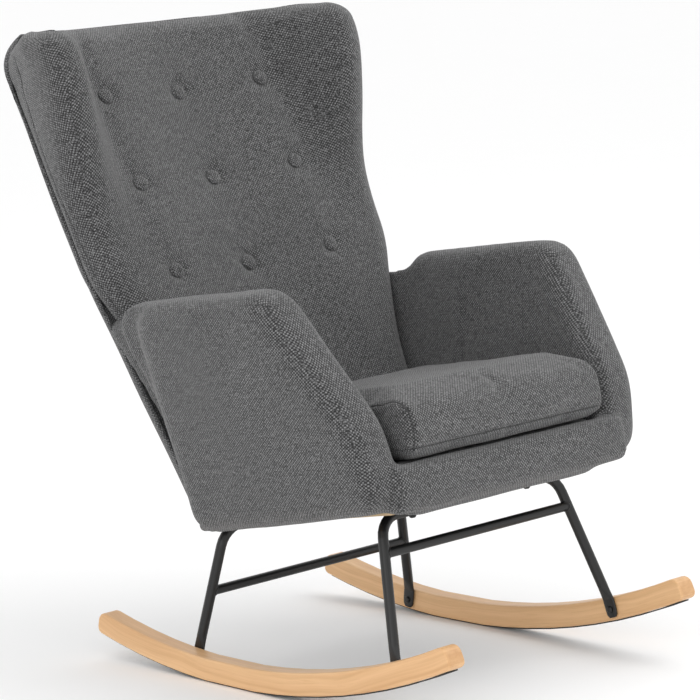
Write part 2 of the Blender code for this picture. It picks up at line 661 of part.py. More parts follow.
BOTTOM_CLEAR = WEB_LOW + WEB_THICKNESS + BACK_OVER_WEBS     # above the rails' underside
base_front = SEAT_REAR + GAP
base_rear = SEAT_REAR + REAR_BASE_DEPTH
base_band = filleted([(base_front, -APRON_DROP, 0), (base_rear, -APRON_DROP, 0.006),
                      (base_rear, BOTTOM_CLEAR - GAP, 0.003), (base_front, BOTTOM_CLEAR - GAP, 0)], 3)
padded_slab("rear_base_pad", base_band, -REAR_BASE_HALF_WIDTH, REAR_BASE_HALF_WIDTH, seat, LINEN)

rear_low = back_face_y(CUSHION_BOTTOM) - CUSHION_PLAY
rear_high = back_face_y(CUSHION_TOP) - CUSHION_PLAY
cushion = filleted([(CUSHION_FRONT, CUSHION_BOTTOM, CUSHION_LOW_ROUND + CUSHION_ROUND),
                    (rear_low, CUSHION_BOTTOM, CUSHION_LOW_ROUND + CUSHION_ROUND),
                    (rear_high, CUSHION_TOP, CUSHION_LOW_ROUND + CUSHION_ROUND),
                    (CUSHION_FRONT, CUSHION_TOP, CUSHION_NOSE_ROUND)], 4)
seat_cushion = padded_slab("seat_cushion", cushion, -CUSHION_FRONT_HALF_WIDTH,
                           CUSHION_FRONT_HALF_WIDTH, seat, LINEN, (CUSHION_ROUND, CUSHION_ROUND))
for point in seat_cushion.data.vertices:
    along = (point.co.y - CUSHION_FRONT) / (rear_low - CUSHION_FRONT)
    point.co.x *= 1 + (CUSHION_REAR_HALF_WIDTH / CUSHION_FRONT_HALF_WIDTH - 1) * along


# ---------------------------------------------------------------- arms
def seat_plane(y, above=0.0):
    """Height in the level frame of the seat frame's underside at y, or of a plane above it."""
    return SEAT_HEIGHT - y * math.tan(SEAT_PITCH) + above / math.cos(SEAT_PITCH)


def back_line(z, offset=0.0):
    """Y in the level frame of the back's front face at height z."""
    return BACK_FOOT_Y + (z - BACK_FOOT_Z) * math.tan(BACK_RECLINE) + offset / math.cos(BACK_RECLINE)


def arm_outline(shrink, rise, rear_low, rear_high):
    """Side view of an arm in its own flared axes: bottom, front, crest and back edge."""
    stretch = 1 / math.cos(ARM_FLARE)
    corners = [
        (rear_low, seat_plane(rear_low, rise), 0.032),
        (ARM_FRONT, seat_plane(ARM_FRONT, rise + ARM_FRONT_LIFT), 0.045),
        (ARM_FRONT, ARM_SWEEP_Z, 0.12), (ARM_CREST_Y, ARM_CREST_Z, 0.066),
        (rear_high, ARM_REAR_TOP_Z, 0.040),
    ]
    scaled = [(y, (z - ARM_PIVOT_Z) * stretch, radius) for y, z, radius in corners]
    return inset(anticlockwise(filleted(scaled, 5)), shrink)


for side, sign in SIDES:
    half_core = ARM_CORE_THICKNESS / 2
    side_outline = arm_outline(0.0, 0.0, ARM_REAR_LOW_Y, ARM_REAR_TOP_Y)
    board_outline = inset(side_outline, ARM_CORE_INSET)
    padded_slab(f"arm_board_{side}", board_outline, -sign * half_core, sign * half_core,
                arm_axes[side], TIMBER)
    start = half_core + GAP
    padded_slab(f"arm_pad_outer_{side}", side_outline, sign * start,
                sign * (start + ARM_PAD_THICKNESS), arm_axes[side], LINEN, (0.0, ARM_PAD_ROUND))
    over_rail = RAIL_THICKNESS + 0.004
    inner_outline = arm_outline(0.0, over_rail, back_line(seat_plane(0.0, over_rail), -INNER_PAD_BACK_GAP),
                                back_line(ARM_REAR_TOP_Z, -INNER_PAD_BACK_GAP))
    padded_slab(f"arm_pad_inner_{side}", inner_outline, -sign * start,
                -sign * (start + ARM_PAD_THICKNESS), arm_axes[side], LINEN, (0.0, ARM_PAD_ROUND))


# ---------------------------------------------------------------- back
SLOPE_LOW = math.tan(BACK_RECLINE - SEAT_PITCH)
SLOPE_HIGH = math.tan(BACK_RECLINE)
BACK_LOW = (BOTTOM_CLEAR - (BACK_FOOT_Z - SEAT_HEIGHT) * math.cos(SEAT_PITCH)
            - BACK_FOOT_Y * math.sin(SEAT_PITCH)) / math.cos(BACK_RECLINE - SEAT_PITCH)


def back_height(share, depth):
    """Height up the back at a share of it, cut level at the top and along the seat at the bottom."""
    slope = SLOPE_LOW * (1 - share) + SLOPE_HIGH * share
    return BACK_LOW + (BACK_TOP - BACK_LOW) * share + slope * depth


def back_half_width(height):
    """Half width of the back: flared with the arms, then straight above the shoulder."""
    rise = min(1.0, max(0.0, (height - BACK_LOW) / (BACK_SHOULDER - BACK_LOW)))
    return BACK_LOW_HALF_WIDTH + (BACK_HIGH_HALF_WIDTH - BACK_LOW_HALF_WIDTH) * rise


def front_face(x):
    """Depth of the hollow front face at x, before the tufts."""
    across = abs(x) / BUTTON_COLUMN
    return BACK_HOLLOW * (1 - min(across, 1.0) ** 1.6) if across < 1 else 0.0


SHARES = [0.0, 0.012, 0.10, 0.22, 0.34, 0.46, 0.58, 0.66, 0.78, 0.90, 0.945]
TOP_STEPS = 3


def top_rounding(depth_low, depth_high):
    """(share, shrink) pairs for the rounded top edge."""
    share_span = BACK_TOP_ROUND / (BACK_TOP - BACK_LOW)
    pairs = []
    for k in range(1, TOP_STEPS + 1):
        angle = math.pi / 2 * k / TOP_STEPS
        pairs.append((1 - share_span * (1 - math.sin(angle)), BACK_TOP_ROUND * (1 - math.cos(angle))))
    return pairs


def front_pad_ring(share, shrink):
    """Plan section of the front pad: hollow front, square back against the board."""
    width = back_half_width(back_height(share, 0.0)) - shrink * 0.6
    columns = [-1, -0.86, -0.70, -0.56, -0.42, -0.28, -0.14, 0, 0.14, 0.28, 0.42, 0.56, 0.70, 0.86, 1]
    ring = []
    for column in columns:
        x = column * width
        depth = front_face(x) + shrink
        ring.append((x, depth, back_height(share, depth)))
    rear = BOARD_FRONT - GAP
    start = rear - BACK_SIDE_ROUND * 0.6
    corner = []
    for k in range(4):
        angle = math.asin(0.6) * k / 3
        x = width - BACK_SIDE_ROUND * (1 - math.cos(angle))
        corner.append((x, start + BACK_SIDE_ROUND * math.sin(angle)))
    ring += [(x, n, back_height(share, n)) for x, n in corner]
    ring += [(-x, n, back_height(share, n)) for x, n in reversed(corner)]
    return ring


def rear_pad_ring(share, shrink):
    """Plan section of the rear panel: flat against the board, rounded at its rear corners."""
    height = back_height(share, 0.0)
    width = back_half_width(height) - shrink * 0.6 - BACK_SIDE_ROUND * 0.2
    front = BOARD_FRONT + BOARD_THICKNESS + GAP
    rear = BACK_DEPTH_LOW + (BACK_DEPTH_HIGH - BACK_DEPTH_LOW) * share - REAR_CROWN - shrink * 0.5
    radius = (rear - front) * 0.95
    half = []
    for k in range(5):
        angle = math.pi / 2 * k / 4
        half.append((width - radius * 1.5 * (1 - math.cos(angle)), front + (rear - front) * math.sin(angle)))
    crown = REAR_CROWN * (1 - shrink / BACK_TOP_ROUND)
    for share_in in (0.66, 0.33):
        half.append((half[4][0] * share_in, rear + crown * (1 - share_in ** 2)))
    outline = [(-x, n) for x, n in half] + [(0.0, rear + crown)] + [(x, n) for x, n in reversed(half)]
    return [(x, n, back_height(share, n)) for x, n in outline]


pairs = [(share, 0.0) for share in SHARES] + top_rounding(BACK_DEPTH_LOW, BACK_DEPTH_HIGH)
front_pad = add("back_pad_front", [front_pad_ring(*pair) for pair in pairs], back, LINEN)
add("back_pad_rear", [rear_pad_ring(*pair) for pair in pairs], back, LINEN)

BOARD_DROP = (BOTTOM_CLEAR - RAIL_THICKNESS - GAP) / math.cos(BACK_RECLINE - SEAT_PITCH)
board_rings = []
for depth in (BOARD_FRONT, BOARD_FRONT + BOARD_THICKNESS):
    outline = []
    for sign in (-1, 1):
        column = [(sign * (back_half_width(back_height(share, 0.0)) - BOARD_INSET), back_height(share, depth))
                  for share in (0.0, 0.6, 0.955)]
        column[0] = (column[0][0], column[0][1] - BOARD_DROP)
        outline += column if sign > 0 else list(reversed(column))
    board_rings.append([(x, depth, height) for x, height in outline])
add("back_board", board_rings, back, TIMBER, smooth=0)


# ---------------------------------------------------------------- wings
def wing_shape(rear, shrink=0.0):
    """The wing's outline with its front corners rounded."""
    top = BACK_TOP - 0.004
    corners = [(rear, WING_START, 0.0), (-WING_REACH, WING_PEAK - 0.012, 0.060),
               (-WING_REACH + 0.010, top - SLOPE_HIGH * (WING_REACH - 0.010), 0.036),
               (rear, top + SLOPE_HIGH * rear, 0.0)]
    return inset(anticlockwise(filleted(corners, 6)), shrink)


for side, sign in SIDES:
    pad = padded_slab(f"wing_pad_{side}", wing_shape(-GAP), sign * WING_INNER, sign * WING_OUTER,
                      back, LINEN, (WING_ROUND, WING_ROUND))
    inner_x = WING_BOARD_X
    outer_x = WING_BOARD_X + WING_BOARD_THICKNESS
    slim = wing_shape(BOARD_FRONT - GAP * 2, WING_INSET)
    ply = [p for p in slim]
    board = padded_slab(f"wing_board_{side}", ply, sign * inner_x, sign * outer_x, back, TIMBER)
    grown = inset(anticlockwise(ply), -GAP * 1.5)
    slot = padded_slab(f"cut_wing_{side}", grown, sign * (inner_x - GAP), sign * (outer_x + GAP),
                       back, TIMBER, hidden=True)
    cut(pad, slot)
    cut(front_pad, slot)


# ---------------------------------------------------------------- buttons
number = 0
for height in reversed(BUTTON_ROWS):
    for column in (-1, 0, 1):
        number += 1
        x = column * BUTTON_COLUMN
        base = front_face(x) + BUTTON_DEPTH
        facing = Matrix.Translation((x, base, height)) @ Matrix.Rotation(math.pi / 2, 4, "X")
        hollow = BUTTON_RADIUS + 0.002
        cutter = turned(f"cut_tuft_{number}", [(hollow, 0), (hollow, BUTTON_DEPTH + 0.02)], back, LINEN,
                        facing, True)
        cut(front_pad, cutter)
        turned(f"back_button_{number}",
               [(BUTTON_RADIUS * 0.86, GAP), (BUTTON_RADIUS, GAP + BUTTON_THICKNESS * 0.3),
                (BUTTON_RADIUS * 0.90, GAP + BUTTON_THICKNESS * 0.66),
                (BUTTON_RADIUS * 0.45, GAP + BUTTON_THICKNESS * 0.96)],
               back, LINEN, facing)
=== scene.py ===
"""Looks of an upholstered wing rocking chair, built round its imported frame.

The upholstery is modelled in the chair's own axes: level axes, in which the rockers reach as far forward as
back, and the axes of the seat, the arms and the back, which are set from them. Lengths are in metres.
"""

import json
import logging
import math
from dataclasses import dataclass, field
from enum import Enum
from typing import Callable

import bmesh
import bpy
import numpy as np
from mathutils import Euler, Matrix, Vector, noise
from mathutils.bvhtree import BVHTree
from mathutils.kdtree import KDTree


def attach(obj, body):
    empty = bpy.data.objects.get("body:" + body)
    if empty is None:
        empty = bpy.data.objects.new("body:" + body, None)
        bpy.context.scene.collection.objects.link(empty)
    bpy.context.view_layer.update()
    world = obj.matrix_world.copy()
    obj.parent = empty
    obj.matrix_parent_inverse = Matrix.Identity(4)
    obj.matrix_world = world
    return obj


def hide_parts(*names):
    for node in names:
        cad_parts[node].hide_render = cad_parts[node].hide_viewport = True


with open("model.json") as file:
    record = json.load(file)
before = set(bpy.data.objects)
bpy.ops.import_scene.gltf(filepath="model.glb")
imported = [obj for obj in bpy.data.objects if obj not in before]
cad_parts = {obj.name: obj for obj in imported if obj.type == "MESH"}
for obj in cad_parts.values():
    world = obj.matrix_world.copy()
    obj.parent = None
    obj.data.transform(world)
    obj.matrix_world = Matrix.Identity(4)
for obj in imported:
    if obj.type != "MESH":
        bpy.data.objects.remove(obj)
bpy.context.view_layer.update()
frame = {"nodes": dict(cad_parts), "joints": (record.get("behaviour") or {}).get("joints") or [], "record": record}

log = logging.getLogger("rocking_chair")

CHAIR = "chair"
CUSHION = "cushion"


class Side(Enum):
    """The two sides of the chair, as the sign of X."""

    RIGHT = -1
    LEFT = 1

    @property
    def word(self) -> str:
        """The side's name in the frame's node names."""
        return self.name.lower()


class Slot(Enum):
    """Material slots of the record that new pieces take their finish from."""

    CLOTH = "grey_linen"
    DECK = "deck_pad"
    STEEL = "black_steel"
    LINING = "dust_lining"
    ZINC = "zinc_plate"
    TIMBER = "frame_timber"


# ------------------------------------------------------------------ axes
@dataclass(frozen=True)
class ChairAxes:
    """Places of the seat, arms and back in the row's frame."""

    arc_radius: float = 1.279
    rest_flat: float = math.radians(5.2)
    seat_height: float = 0.2602
    seat_pitch: float = math.radians(4.5)
    back_foot: tuple[float, float, float] = (0.0, 0.0607, 0.300)
    back_recline: float = math.radians(24.5)
    arm_foot: tuple[float, float] = (0.2525, 0.270)
    arm_flare: float = math.radians(8.5)
    arm_toe: float = math.radians(3.0)

    @property
    def lean(self) -> float:
        """How far the chair leans back at rest, from the line along which its cushion lifts."""
        axis = frame["joints"][0]["axis"]
        return math.atan2(axis[1], axis[2]) - self.seat_pitch

    @property
    def level(self) -> Matrix:
        """From the level axes to the row's frame.

        Returns:
            The matrix, with the lean and the place of the rockers' contact in it.
        """
        shift = frame["record"]["mounts"][0]["pos_m"][1]
        height = self.arc_radius * math.cos(self.rest_flat / 2)
        lean = Matrix.Rotation(-self.lean, 4, "X")
        drop = Matrix.Translation((0.0, 0.0, -self.arc_radius))
        return Matrix.Translation((0.0, shift, height)) @ lean @ drop

    @property
    def seat(self) -> Matrix:
        """From the seat's axes to the row's frame."""
        turn = Matrix.Rotation(-self.seat_pitch, 4, "X")
        return self.level @ Matrix.Translation((0.0, 0.0, self.seat_height)) @ turn

    @property
    def back(self) -> Matrix:
        """From the back's axes (X across, Y to the rear, Z up the back) to the row's frame."""
        turn = Matrix.Rotation(-self.back_recline, 4, "X")
        return self.level @ Matrix.Translation(self.back_foot) @ turn

    def arm(self, side: Side) -> Matrix:
        """From an arm's axes to the row's frame.

        Args:
            side: which arm.

        Returns:
            The matrix of an arm's flared and toed-in axes.
        """
        foot = Matrix.Translation((side.value * self.arm_foot[0], 0.0, self.arm_foot[1]))
        turn = Euler((0.0, side.value * self.arm_flare, -side.value * self.arm_toe)).to_matrix().to_4x4()
        return self.level @ foot @ turn


AXES = ChairAxes()


# ------------------------------------------------------------------ mesh tools
Ring = list[tuple[float, float, float]]
Reshape = Callable[[str, np.ndarray], np.ndarray]


def points_of(piece: bpy.types.Object) -> np.ndarray:
    """The piece's vertices as rows of X, Y, Z.

    Args:
        piece: the piece.

    Returns:
        The rows, as a copy.
    """
    flat = np.empty(len(piece.data.vertices) * 3)
    piece.data.vertices.foreach_get("co", flat)
    return flat.reshape(-1, 3)


def normals_of(piece: bpy.types.Object) -> np.ndarray:
    """The piece's vertex normals as rows of X, Y, Z.

    Args:
        piece: the piece.

    Returns:
        The rows, as a copy.
    """
    flat = np.empty(len(piece.data.vertices) * 3)
    piece.data.vertices.foreach_get("normal", flat)
    return flat.reshape(-1, 3)


def set_points(piece: bpy.types.Object, points: np.ndarray) -> None:
    """Moves the piece's vertices to these rows."""
    piece.data.vertices.foreach_set("co", np.ascontiguousarray(points, dtype=np.float32).ravel())
    piece.data.update()


def into(matrix: Matrix, points: np.ndarray) -> np.ndarray:
    """Carries rows of points through a matrix.

    Args:
        matrix: a 4 by 4 matrix.
        points: rows of X, Y, Z.

    Returns:
        The moved rows.
    """
    turn = np.array(matrix)
    return points @ turn[:3, :3].T + turn[:3, 3]


def skin_of(piece: bpy.types.Object) -> BVHTree:
    """The piece's skin, ready to be hit by rays."""
    faces = [list(face.vertices) for face in piece.data.polygons]
    return BVHTree.FromPolygons([Vector(point) for point in points_of(piece)], faces)


def new_piece(name: str, mesh: bpy.types.Mesh) -> bpy.types.Object:
    """Puts a mesh into the scene under a name and shades it smooth.

    Args:
        name: the piece's name.
        mesh: its mesh.

    Returns:
        The new piece.
    """
    mesh.shade_smooth()
    piece = bpy.data.objects.new(name, mesh)
    bpy.context.scene.collection.objects.link(piece)
    return piece


def loft(name: str, rings: list[Ring], place: Matrix) -> bpy.types.Object:
    """A closed skin through rings of equally many points, an even number.

    Args:
        name: the piece's name.
        rings: closed rings, in order.
        place: from the rings' axes to the row's frame.

    Returns:
        The new piece, its ends filled with strips that run from one half of the ring to the other.
    """
    mesh = bpy.data.meshes.new(name)
    work = bmesh.new()
    loops = [[work.verts.new(place @ Vector(point)) for point in ring] for ring in rings]
    count = len(rings[0])
    for low, high in zip(loops, loops[1:]):
        for i in range(count):
            j = (i + 1) % count
            work.faces.new((low[i], low[j], high[j], high[i]))
    for loop in (loops[0], loops[-1]):
        for i in range(count // 2 - 1):
            work.faces.new((loop[i], loop[i + 1], loop[count - 2 - i], loop[count - 1 - i]))
    bmesh.ops.recalc_face_normals(work, faces=work.faces)
    work.to_mesh(mesh)
    work.free()
    return new_piece(name, mesh)


def cast_of(name: str, nodes: list[str], reshape: Reshape | None = None,
            extra: list[bpy.types.Object] | None = None) -> bpy.types.Object:
    """One mesh holding copies of the frame's solids, as the block that a soft piece is cut from.

    Args:
        name: the piece's name.
        nodes: the solids to copy.
        reshape: moves a copied solid's points, given its node name.
        extra: blocks of the maker's own, which are used up.

    Returns:
        The new piece.
    """
    work = bmesh.new()
    for node in nodes:
        mesh = frame["nodes"][node].data.copy()
        if reshape:
            flat = np.empty(len(mesh.vertices) * 3)
            mesh.vertices.foreach_get("co", flat)
            points = reshape(node, flat.reshape(-1, 3))
            mesh.vertices.foreach_set("co", np.ascontiguousarray(points, dtype=np.float32).ravel())
        work.from_mesh(mesh)
        bpy.data.meshes.remove(mesh)
    for block in extra or []:
        work.from_mesh(block.data)
        bpy.data.meshes.remove(block.data)
    bmesh.ops.remove_doubles(work, verts=work.verts, dist=1e-5)
    mesh = bpy.data.meshes.new(name)
    work.to_mesh(mesh)
    work.free()
    mesh.materials.clear()
    return new_piece(name, mesh)


def apply_modifiers(piece: bpy.types.Object) -> None:
    """Replaces the piece's mesh with what its modifiers make of it.

    Args:
        piece: the piece.
    """
    graph = bpy.context.evaluated_depsgraph_get()
    graph.update()
    made = bpy.data.meshes.new_from_object(piece.evaluated_get(graph))
    old = piece.data
    piece.modifiers.clear()
    piece.data = made
    made.name = piece.name
    bpy.data.meshes.remove(old)
    made.shade_smooth()


def remesh(piece: bpy.types.Object, voxel: float, smoothing: int) -> None:
    """Makes the piece one even skin and softens its edges.

    Args:
        piece: the piece.
        voxel: the new faces' size.
        smoothing: how many times the edges are softened.
    """
    skin = piece.modifiers.new("skin", "REMESH")
    skin.mode = "VOXEL"
    skin.voxel_size = voxel
    skin.use_smooth_shade = True
    if smoothing:
        soft = piece.modifiers.new("soft", "SMOOTH")
        soft.factor = 0.5
        soft.iterations = smoothing
    apply_modifiers(piece)


def subdivide(piece: bpy.types.Object, levels: int = 1) -> None:
    """Splits each face of the piece smoothly, levels times.

    Args:
        piece: the piece.
        levels: how many times.
    """
    modifier = piece.modifiers.new("finer", "SUBSURF")
    modifier.levels = levels
    modifier.render_levels = levels
    apply_modifiers(piece)


def inflate(piece: bpy.types.Object, pressure: float, frames: int = 20) -> np.ndarray:
    """Blows the piece up as a cloth bag, and leaves its mesh as it was.

    Args:
        piece: a closed skin.
        pressure: the cloth's inner pressure.
        frames: how long it is blown.

    Returns:
        How far each vertex moved.
    """
    before = points_of(piece)
    cloth = piece.modifiers.new("cloth", "CLOTH")
    cloth.settings.use_pressure = True
    cloth.settings.uniform_pressure_force = pressure
    cloth.settings.quality = 4
    cloth.settings.tension_stiffness = 12
    cloth.settings.compression_stiffness = 12
    cloth.settings.bending_stiffness = 0.8
    cloth.settings.effector_weights.gravity = 0.0
    cloth.collision_settings.use_collision = False
    cloth.collision_settings.use_self_collision = False
    scene = bpy.context.scene
    for step in range(1, frames + 1):
        scene.frame_set(step)
    evaluated = piece.evaluated_get(bpy.context.evaluated_depsgraph_get())
    flat = np.empty(len(evaluated.data.vertices) * 3)
    evaluated.data.vertices.foreach_get("co", flat)
    piece.modifiers.clear()
    scene.frame_set(1)
    return flat.reshape(-1, 3) - before


def ripple(piece: bpy.types.Object, scale: float, depth: float, seed: float) -> None:
    """Gives the skin the slow unevenness of hand-stretched cloth.

    Args:
        piece: the piece.
        scale: ripples per metre.
        depth: the most that a point moves.
        seed: where in the noise the piece lies.
    """
    points = points_of(piece)
    normals = normals_of(piece)
    offset = Vector((seed, seed * 2.7, seed * 1.3))
    lift = [noise.noise(Vector(point) * scale + offset) for point in points]
    set_points(piece, points + normals * (np.array(lift) * depth)[:, None])


def groove(piece: bpy.types.Object, line: np.ndarray, width: float, depth: float) -> None:
    """Presses a sewn channel into the skin along a line of points.

    Args:
        piece: the piece.
        line: rows of points along the seam.
        width: the channel's half width.
        depth: how deep it is.
    """
    tree = KDTree(len(line))
    for i, point in enumerate(line):
        tree.insert(Vector(point), i)
    tree.balance()
    points = points_of(piece)
    normals = normals_of(piece)
    near = np.array([tree.find(Vector(point))[2] for point in points])
    press = depth * np.exp(-((near / width) ** 2))
    puff = 0.35 * depth * np.exp(-(((near - 2.6 * width) / (1.2 * width)) ** 2))
    set_points(piece, points + normals * (puff - press)[:, None])


def cord_along(name: str, lines: list[np.ndarray], radius: float, sides: int = 8) -> bpy.types.Object:
    """Round cords along open lines, as one piece.

    Args:
        name: the piece's name.
        lines: each line's points, as rows.
        radius: the cord's radius.
        sides: how many sides it has.

    Returns:
        The new piece.
    """
    work = bmesh.new()
    for line in lines:
        loops = []
        side = Vector((0.0, 0.0, 1.0))
        for i, point in enumerate(line):
            ahead = Vector(line[min(i + 1, len(line) - 1)]) - Vector(line[max(i - 1, 0)])
            ahead.normalize()
            side = (side - ahead * side.dot(ahead)).normalized()
            other = ahead.cross(side)
            ring = []
            for k in range(sides):
                angle = 2 * math.pi * k / sides
                reach = side * math.cos(angle) + other * math.sin(angle)
                ring.append(work.verts.new(Vector(point) + reach * radius))
            loops.append(ring)
        for low, high in zip(loops, loops[1:]):
            for k in range(sides):
                j = (k + 1) % sides
                work.faces.new((low[k], low[j], high[j], high[k]))
        work.faces.new(list(reversed(loops[0])))
        work.faces.new(loops[-1])
    bmesh.ops.recalc_face_normals(work, faces=work.faces)
    mesh = bpy.data.meshes.new(name)
    work.to_mesh(mesh)
    work.free()
    return new_piece(name, mesh)


def smoothstep(value: np.ndarray | float) -> np.ndarray | float:
    """An even S-shaped step from 0 to 1."""
    held = np.clip(value, 0.0, 1.0)
    return held * held * (3 - 2 * held)


# ------------------------------------------------------------------ finishes
class Graph:
    """Adds nodes to one node tree and joins them."""

    def __init__(self, tree: bpy.types.NodeTree) -> None:
        """Works on this tree."""
        self.tree = tree

    def node(self, kind: str, **settings: object) -> bpy.types.Node:
        """Adds a node of a kind, with its settings.

        Args:
            kind: the node's type name.
            **settings: attributes to set on it.

        Returns:
            The new node.
        """
        made = self.tree.nodes.new(kind)
        for name, value in settings.items():
            setattr(made, name, value)
        return made

    def feed(self, socket: bpy.types.NodeSocket, value: object) -> None:
        """Joins a socket to another one, or sets it to a value.

        Args:
            socket: the input.
            value: an output socket, or a plain value.
        """
        if isinstance(value, bpy.types.NodeSocket):
            self.tree.links.new(value, socket)
        else:
            socket.default_value = value

    def math(self, operation: str, *values: object) -> bpy.types.NodeSocket:
        """The result of a Math node on one, two or three values.

        Args:
            operation: the node's operation.
            *values: sockets or numbers, in order.

        Returns:
            The result.
        """
        made = self.node("ShaderNodeMath", operation=operation)
        for socket, value in zip(made.inputs, values):
            self.feed(socket, value)
        return made.outputs[0]

    def blend(self, share: object, first: object, second: object) -> bpy.types.NodeSocket:
        """A float between first and second.

        Args:
            share: 0 for the first, 1 for the second.
            first: the first value.
            second: the second value.

        Returns:
            The float.
        """
        made = self.node("ShaderNodeMix", data_type="FLOAT")
        self.feed(made.inputs[0], share)
        self.feed(made.inputs[2], first)
        self.feed(made.inputs[3], second)
        return made.outputs[0]

    def paint(self, share: object, first: object, second: object,
              mode: str = "MIX") -> bpy.types.NodeSocket:
        """A colour mixed from first and second.

        Args:
            share: 0 for the first, 1 for the second.
            first: the first colour.
            second: the second colour.
            mode: how they are mixed.

        Returns:
            The colour.
        """
        made = self.node("ShaderNodeMix", data_type="RGBA", blend_type=mode)
        self.feed(made.inputs[0], share)
        self.feed(made.inputs[6], first)
        self.feed(made.inputs[7], second)
        return made.outputs[2]

    def noise(self, vector: object, scale: float, detail: float = 2.0,
              rough: float = 0.5) -> bpy.types.NodeSocket:
        """Noise of a scale at a place, from 0 to 1.

        Args:
            vector: the place.
            scale: how many grains to a metre.
            detail: how many finer layers it has.
            rough: how strong they are.

        Returns:
            The noise.
        """
        made = self.node("ShaderNodeTexNoise")
        self.feed(made.inputs["Vector"], vector)
        made.inputs["Scale"].default_value = scale
        made.inputs["Detail"].default_value = detail
        made.inputs["Roughness"].default_value = rough
        return made.outputs["Fac"]

    def join(self, x: object, y: object, z: object = 0.0) -> bpy.types.NodeSocket:
        """A vector of three values.

        Args:
            x: the first value.
            y: the second value.
            z: the third value.

        Returns:
            The vector.
        """
        made = self.node("ShaderNodeCombineXYZ")
        for socket, value in zip(made.inputs, (x, y, z)):
            self.feed(socket, value)
        return made.outputs[0]

    def split(self, vector: object) -> list[bpy.types.NodeSocket]:
        """The three parts of a vector.

        Args:
            vector: the vector.

        Returns:
            Its X, Y and Z.
        """
        made = self.node("ShaderNodeSeparateXYZ")
        self.feed(made.inputs[0], vector)
        return list(made.outputs)

    def bump(self, height: object, distance: float, strength: float,
             normal: object = None) -> bpy.types.NodeSocket:
        """A normal bent by a height.

        Args:
            height: the height, from 0 to 1.
            distance: how many metres a height of 1 stands for.
            strength: how much of it is used.
            normal: the normal to start from, if not the skin's own.

        Returns:
            The bent normal.
        """
        made = self.node("ShaderNodeBump")
        made.inputs["Strength"].default_value = strength
        made.inputs["Distance"].default_value = distance
        self.feed(made.inputs["Height"], height)
        if normal is not None:
            self.feed(made.inputs["Normal"], normal)
        return made.outputs[0]


def weave_group() -> bpy.types.NodeTree:
    """The plain weave that every cloth uses, made once.

    Returns:
        A group that turns U and V, counted in threads, into the weave's height and each thread's tone.
    """
    known = bpy.data.node_groups.get("plain_weave")
    if known:
        return known
    tree = bpy.data.node_groups.new("plain_weave", "ShaderNodeTree")
    for name in ("U", "V"):
        tree.interface.new_socket(name, in_out="INPUT", socket_type="NodeSocketFloat")
    for name in ("Height", "Tone"):
        tree.interface.new_socket(name, in_out="OUTPUT", socket_type="NodeSocketFloat")
    graph = Graph(tree)
    entry = graph.node("NodeGroupInput").outputs
    u, v = entry["U"], entry["V"]
    wave_u = graph.math("SINE", graph.math("MULTIPLY", u, math.pi))
    wave_v = graph.math("SINE", graph.math("MULTIPLY", v, math.pi))
    over = graph.math("GREATER_THAN", graph.math("MULTIPLY", wave_u, wave_v), 0.0)
    round_u = graph.math("ABSOLUTE", wave_u)
    round_v = graph.math("ABSOLUTE", wave_v)
    warp = graph.math("MULTIPLY", round_u, graph.math("MULTIPLY_ADD", round_v, 0.5, 0.5))
    weft = graph.math("MULTIPLY", round_v, graph.math("MULTIPLY_ADD", round_u, 0.5, 0.5))
    height = graph.blend(over, weft, warp)
    column = graph.math("FLOOR", u)
    row = graph.math("FLOOR", v)
    apart, along = 0.83, 0.30
    warp_place = graph.join(graph.math("MULTIPLY", column, apart), graph.math("MULTIPLY", v, along))
    warp_tone = graph.noise(warp_place, 1.0, 1.5)
    weft_place = graph.join(graph.math("MULTIPLY", u, along), graph.math("MULTIPLY", row, apart), 7.3)
    weft_tone = graph.noise(weft_place, 1.0, 1.5)
    tone = graph.blend(over, graph.math("SUBTRACT", weft_tone, 0.24), graph.math("ADD", warp_tone, 0.18))
    leave = graph.node("NodeGroupOutput")
    graph.feed(leave.inputs["Height"], height)
    graph.feed(leave.inputs["Tone"], tone)
    return tree


@dataclass(frozen=True)
class Finish:
    """What every finish shares: a name and an empty material to start from."""

    name: str

    def start(self) -> tuple[bpy.types.Material, Graph, bpy.types.Node]:
        """A new material, its graph and its Principled shader.

        Returns:
            The three of them.
        """
        made = bpy.data.materials.new(self.name)
        made.use_nodes = True
        return made, Graph(made.node_tree), made.node_tree.nodes["Principled BSDF"]

    def place(self, graph: Graph) -> bpy.types.NodeSocket:
        """The piece's own coordinates, in metres."""
        return graph.node("ShaderNodeTexCoord").outputs["Object"]


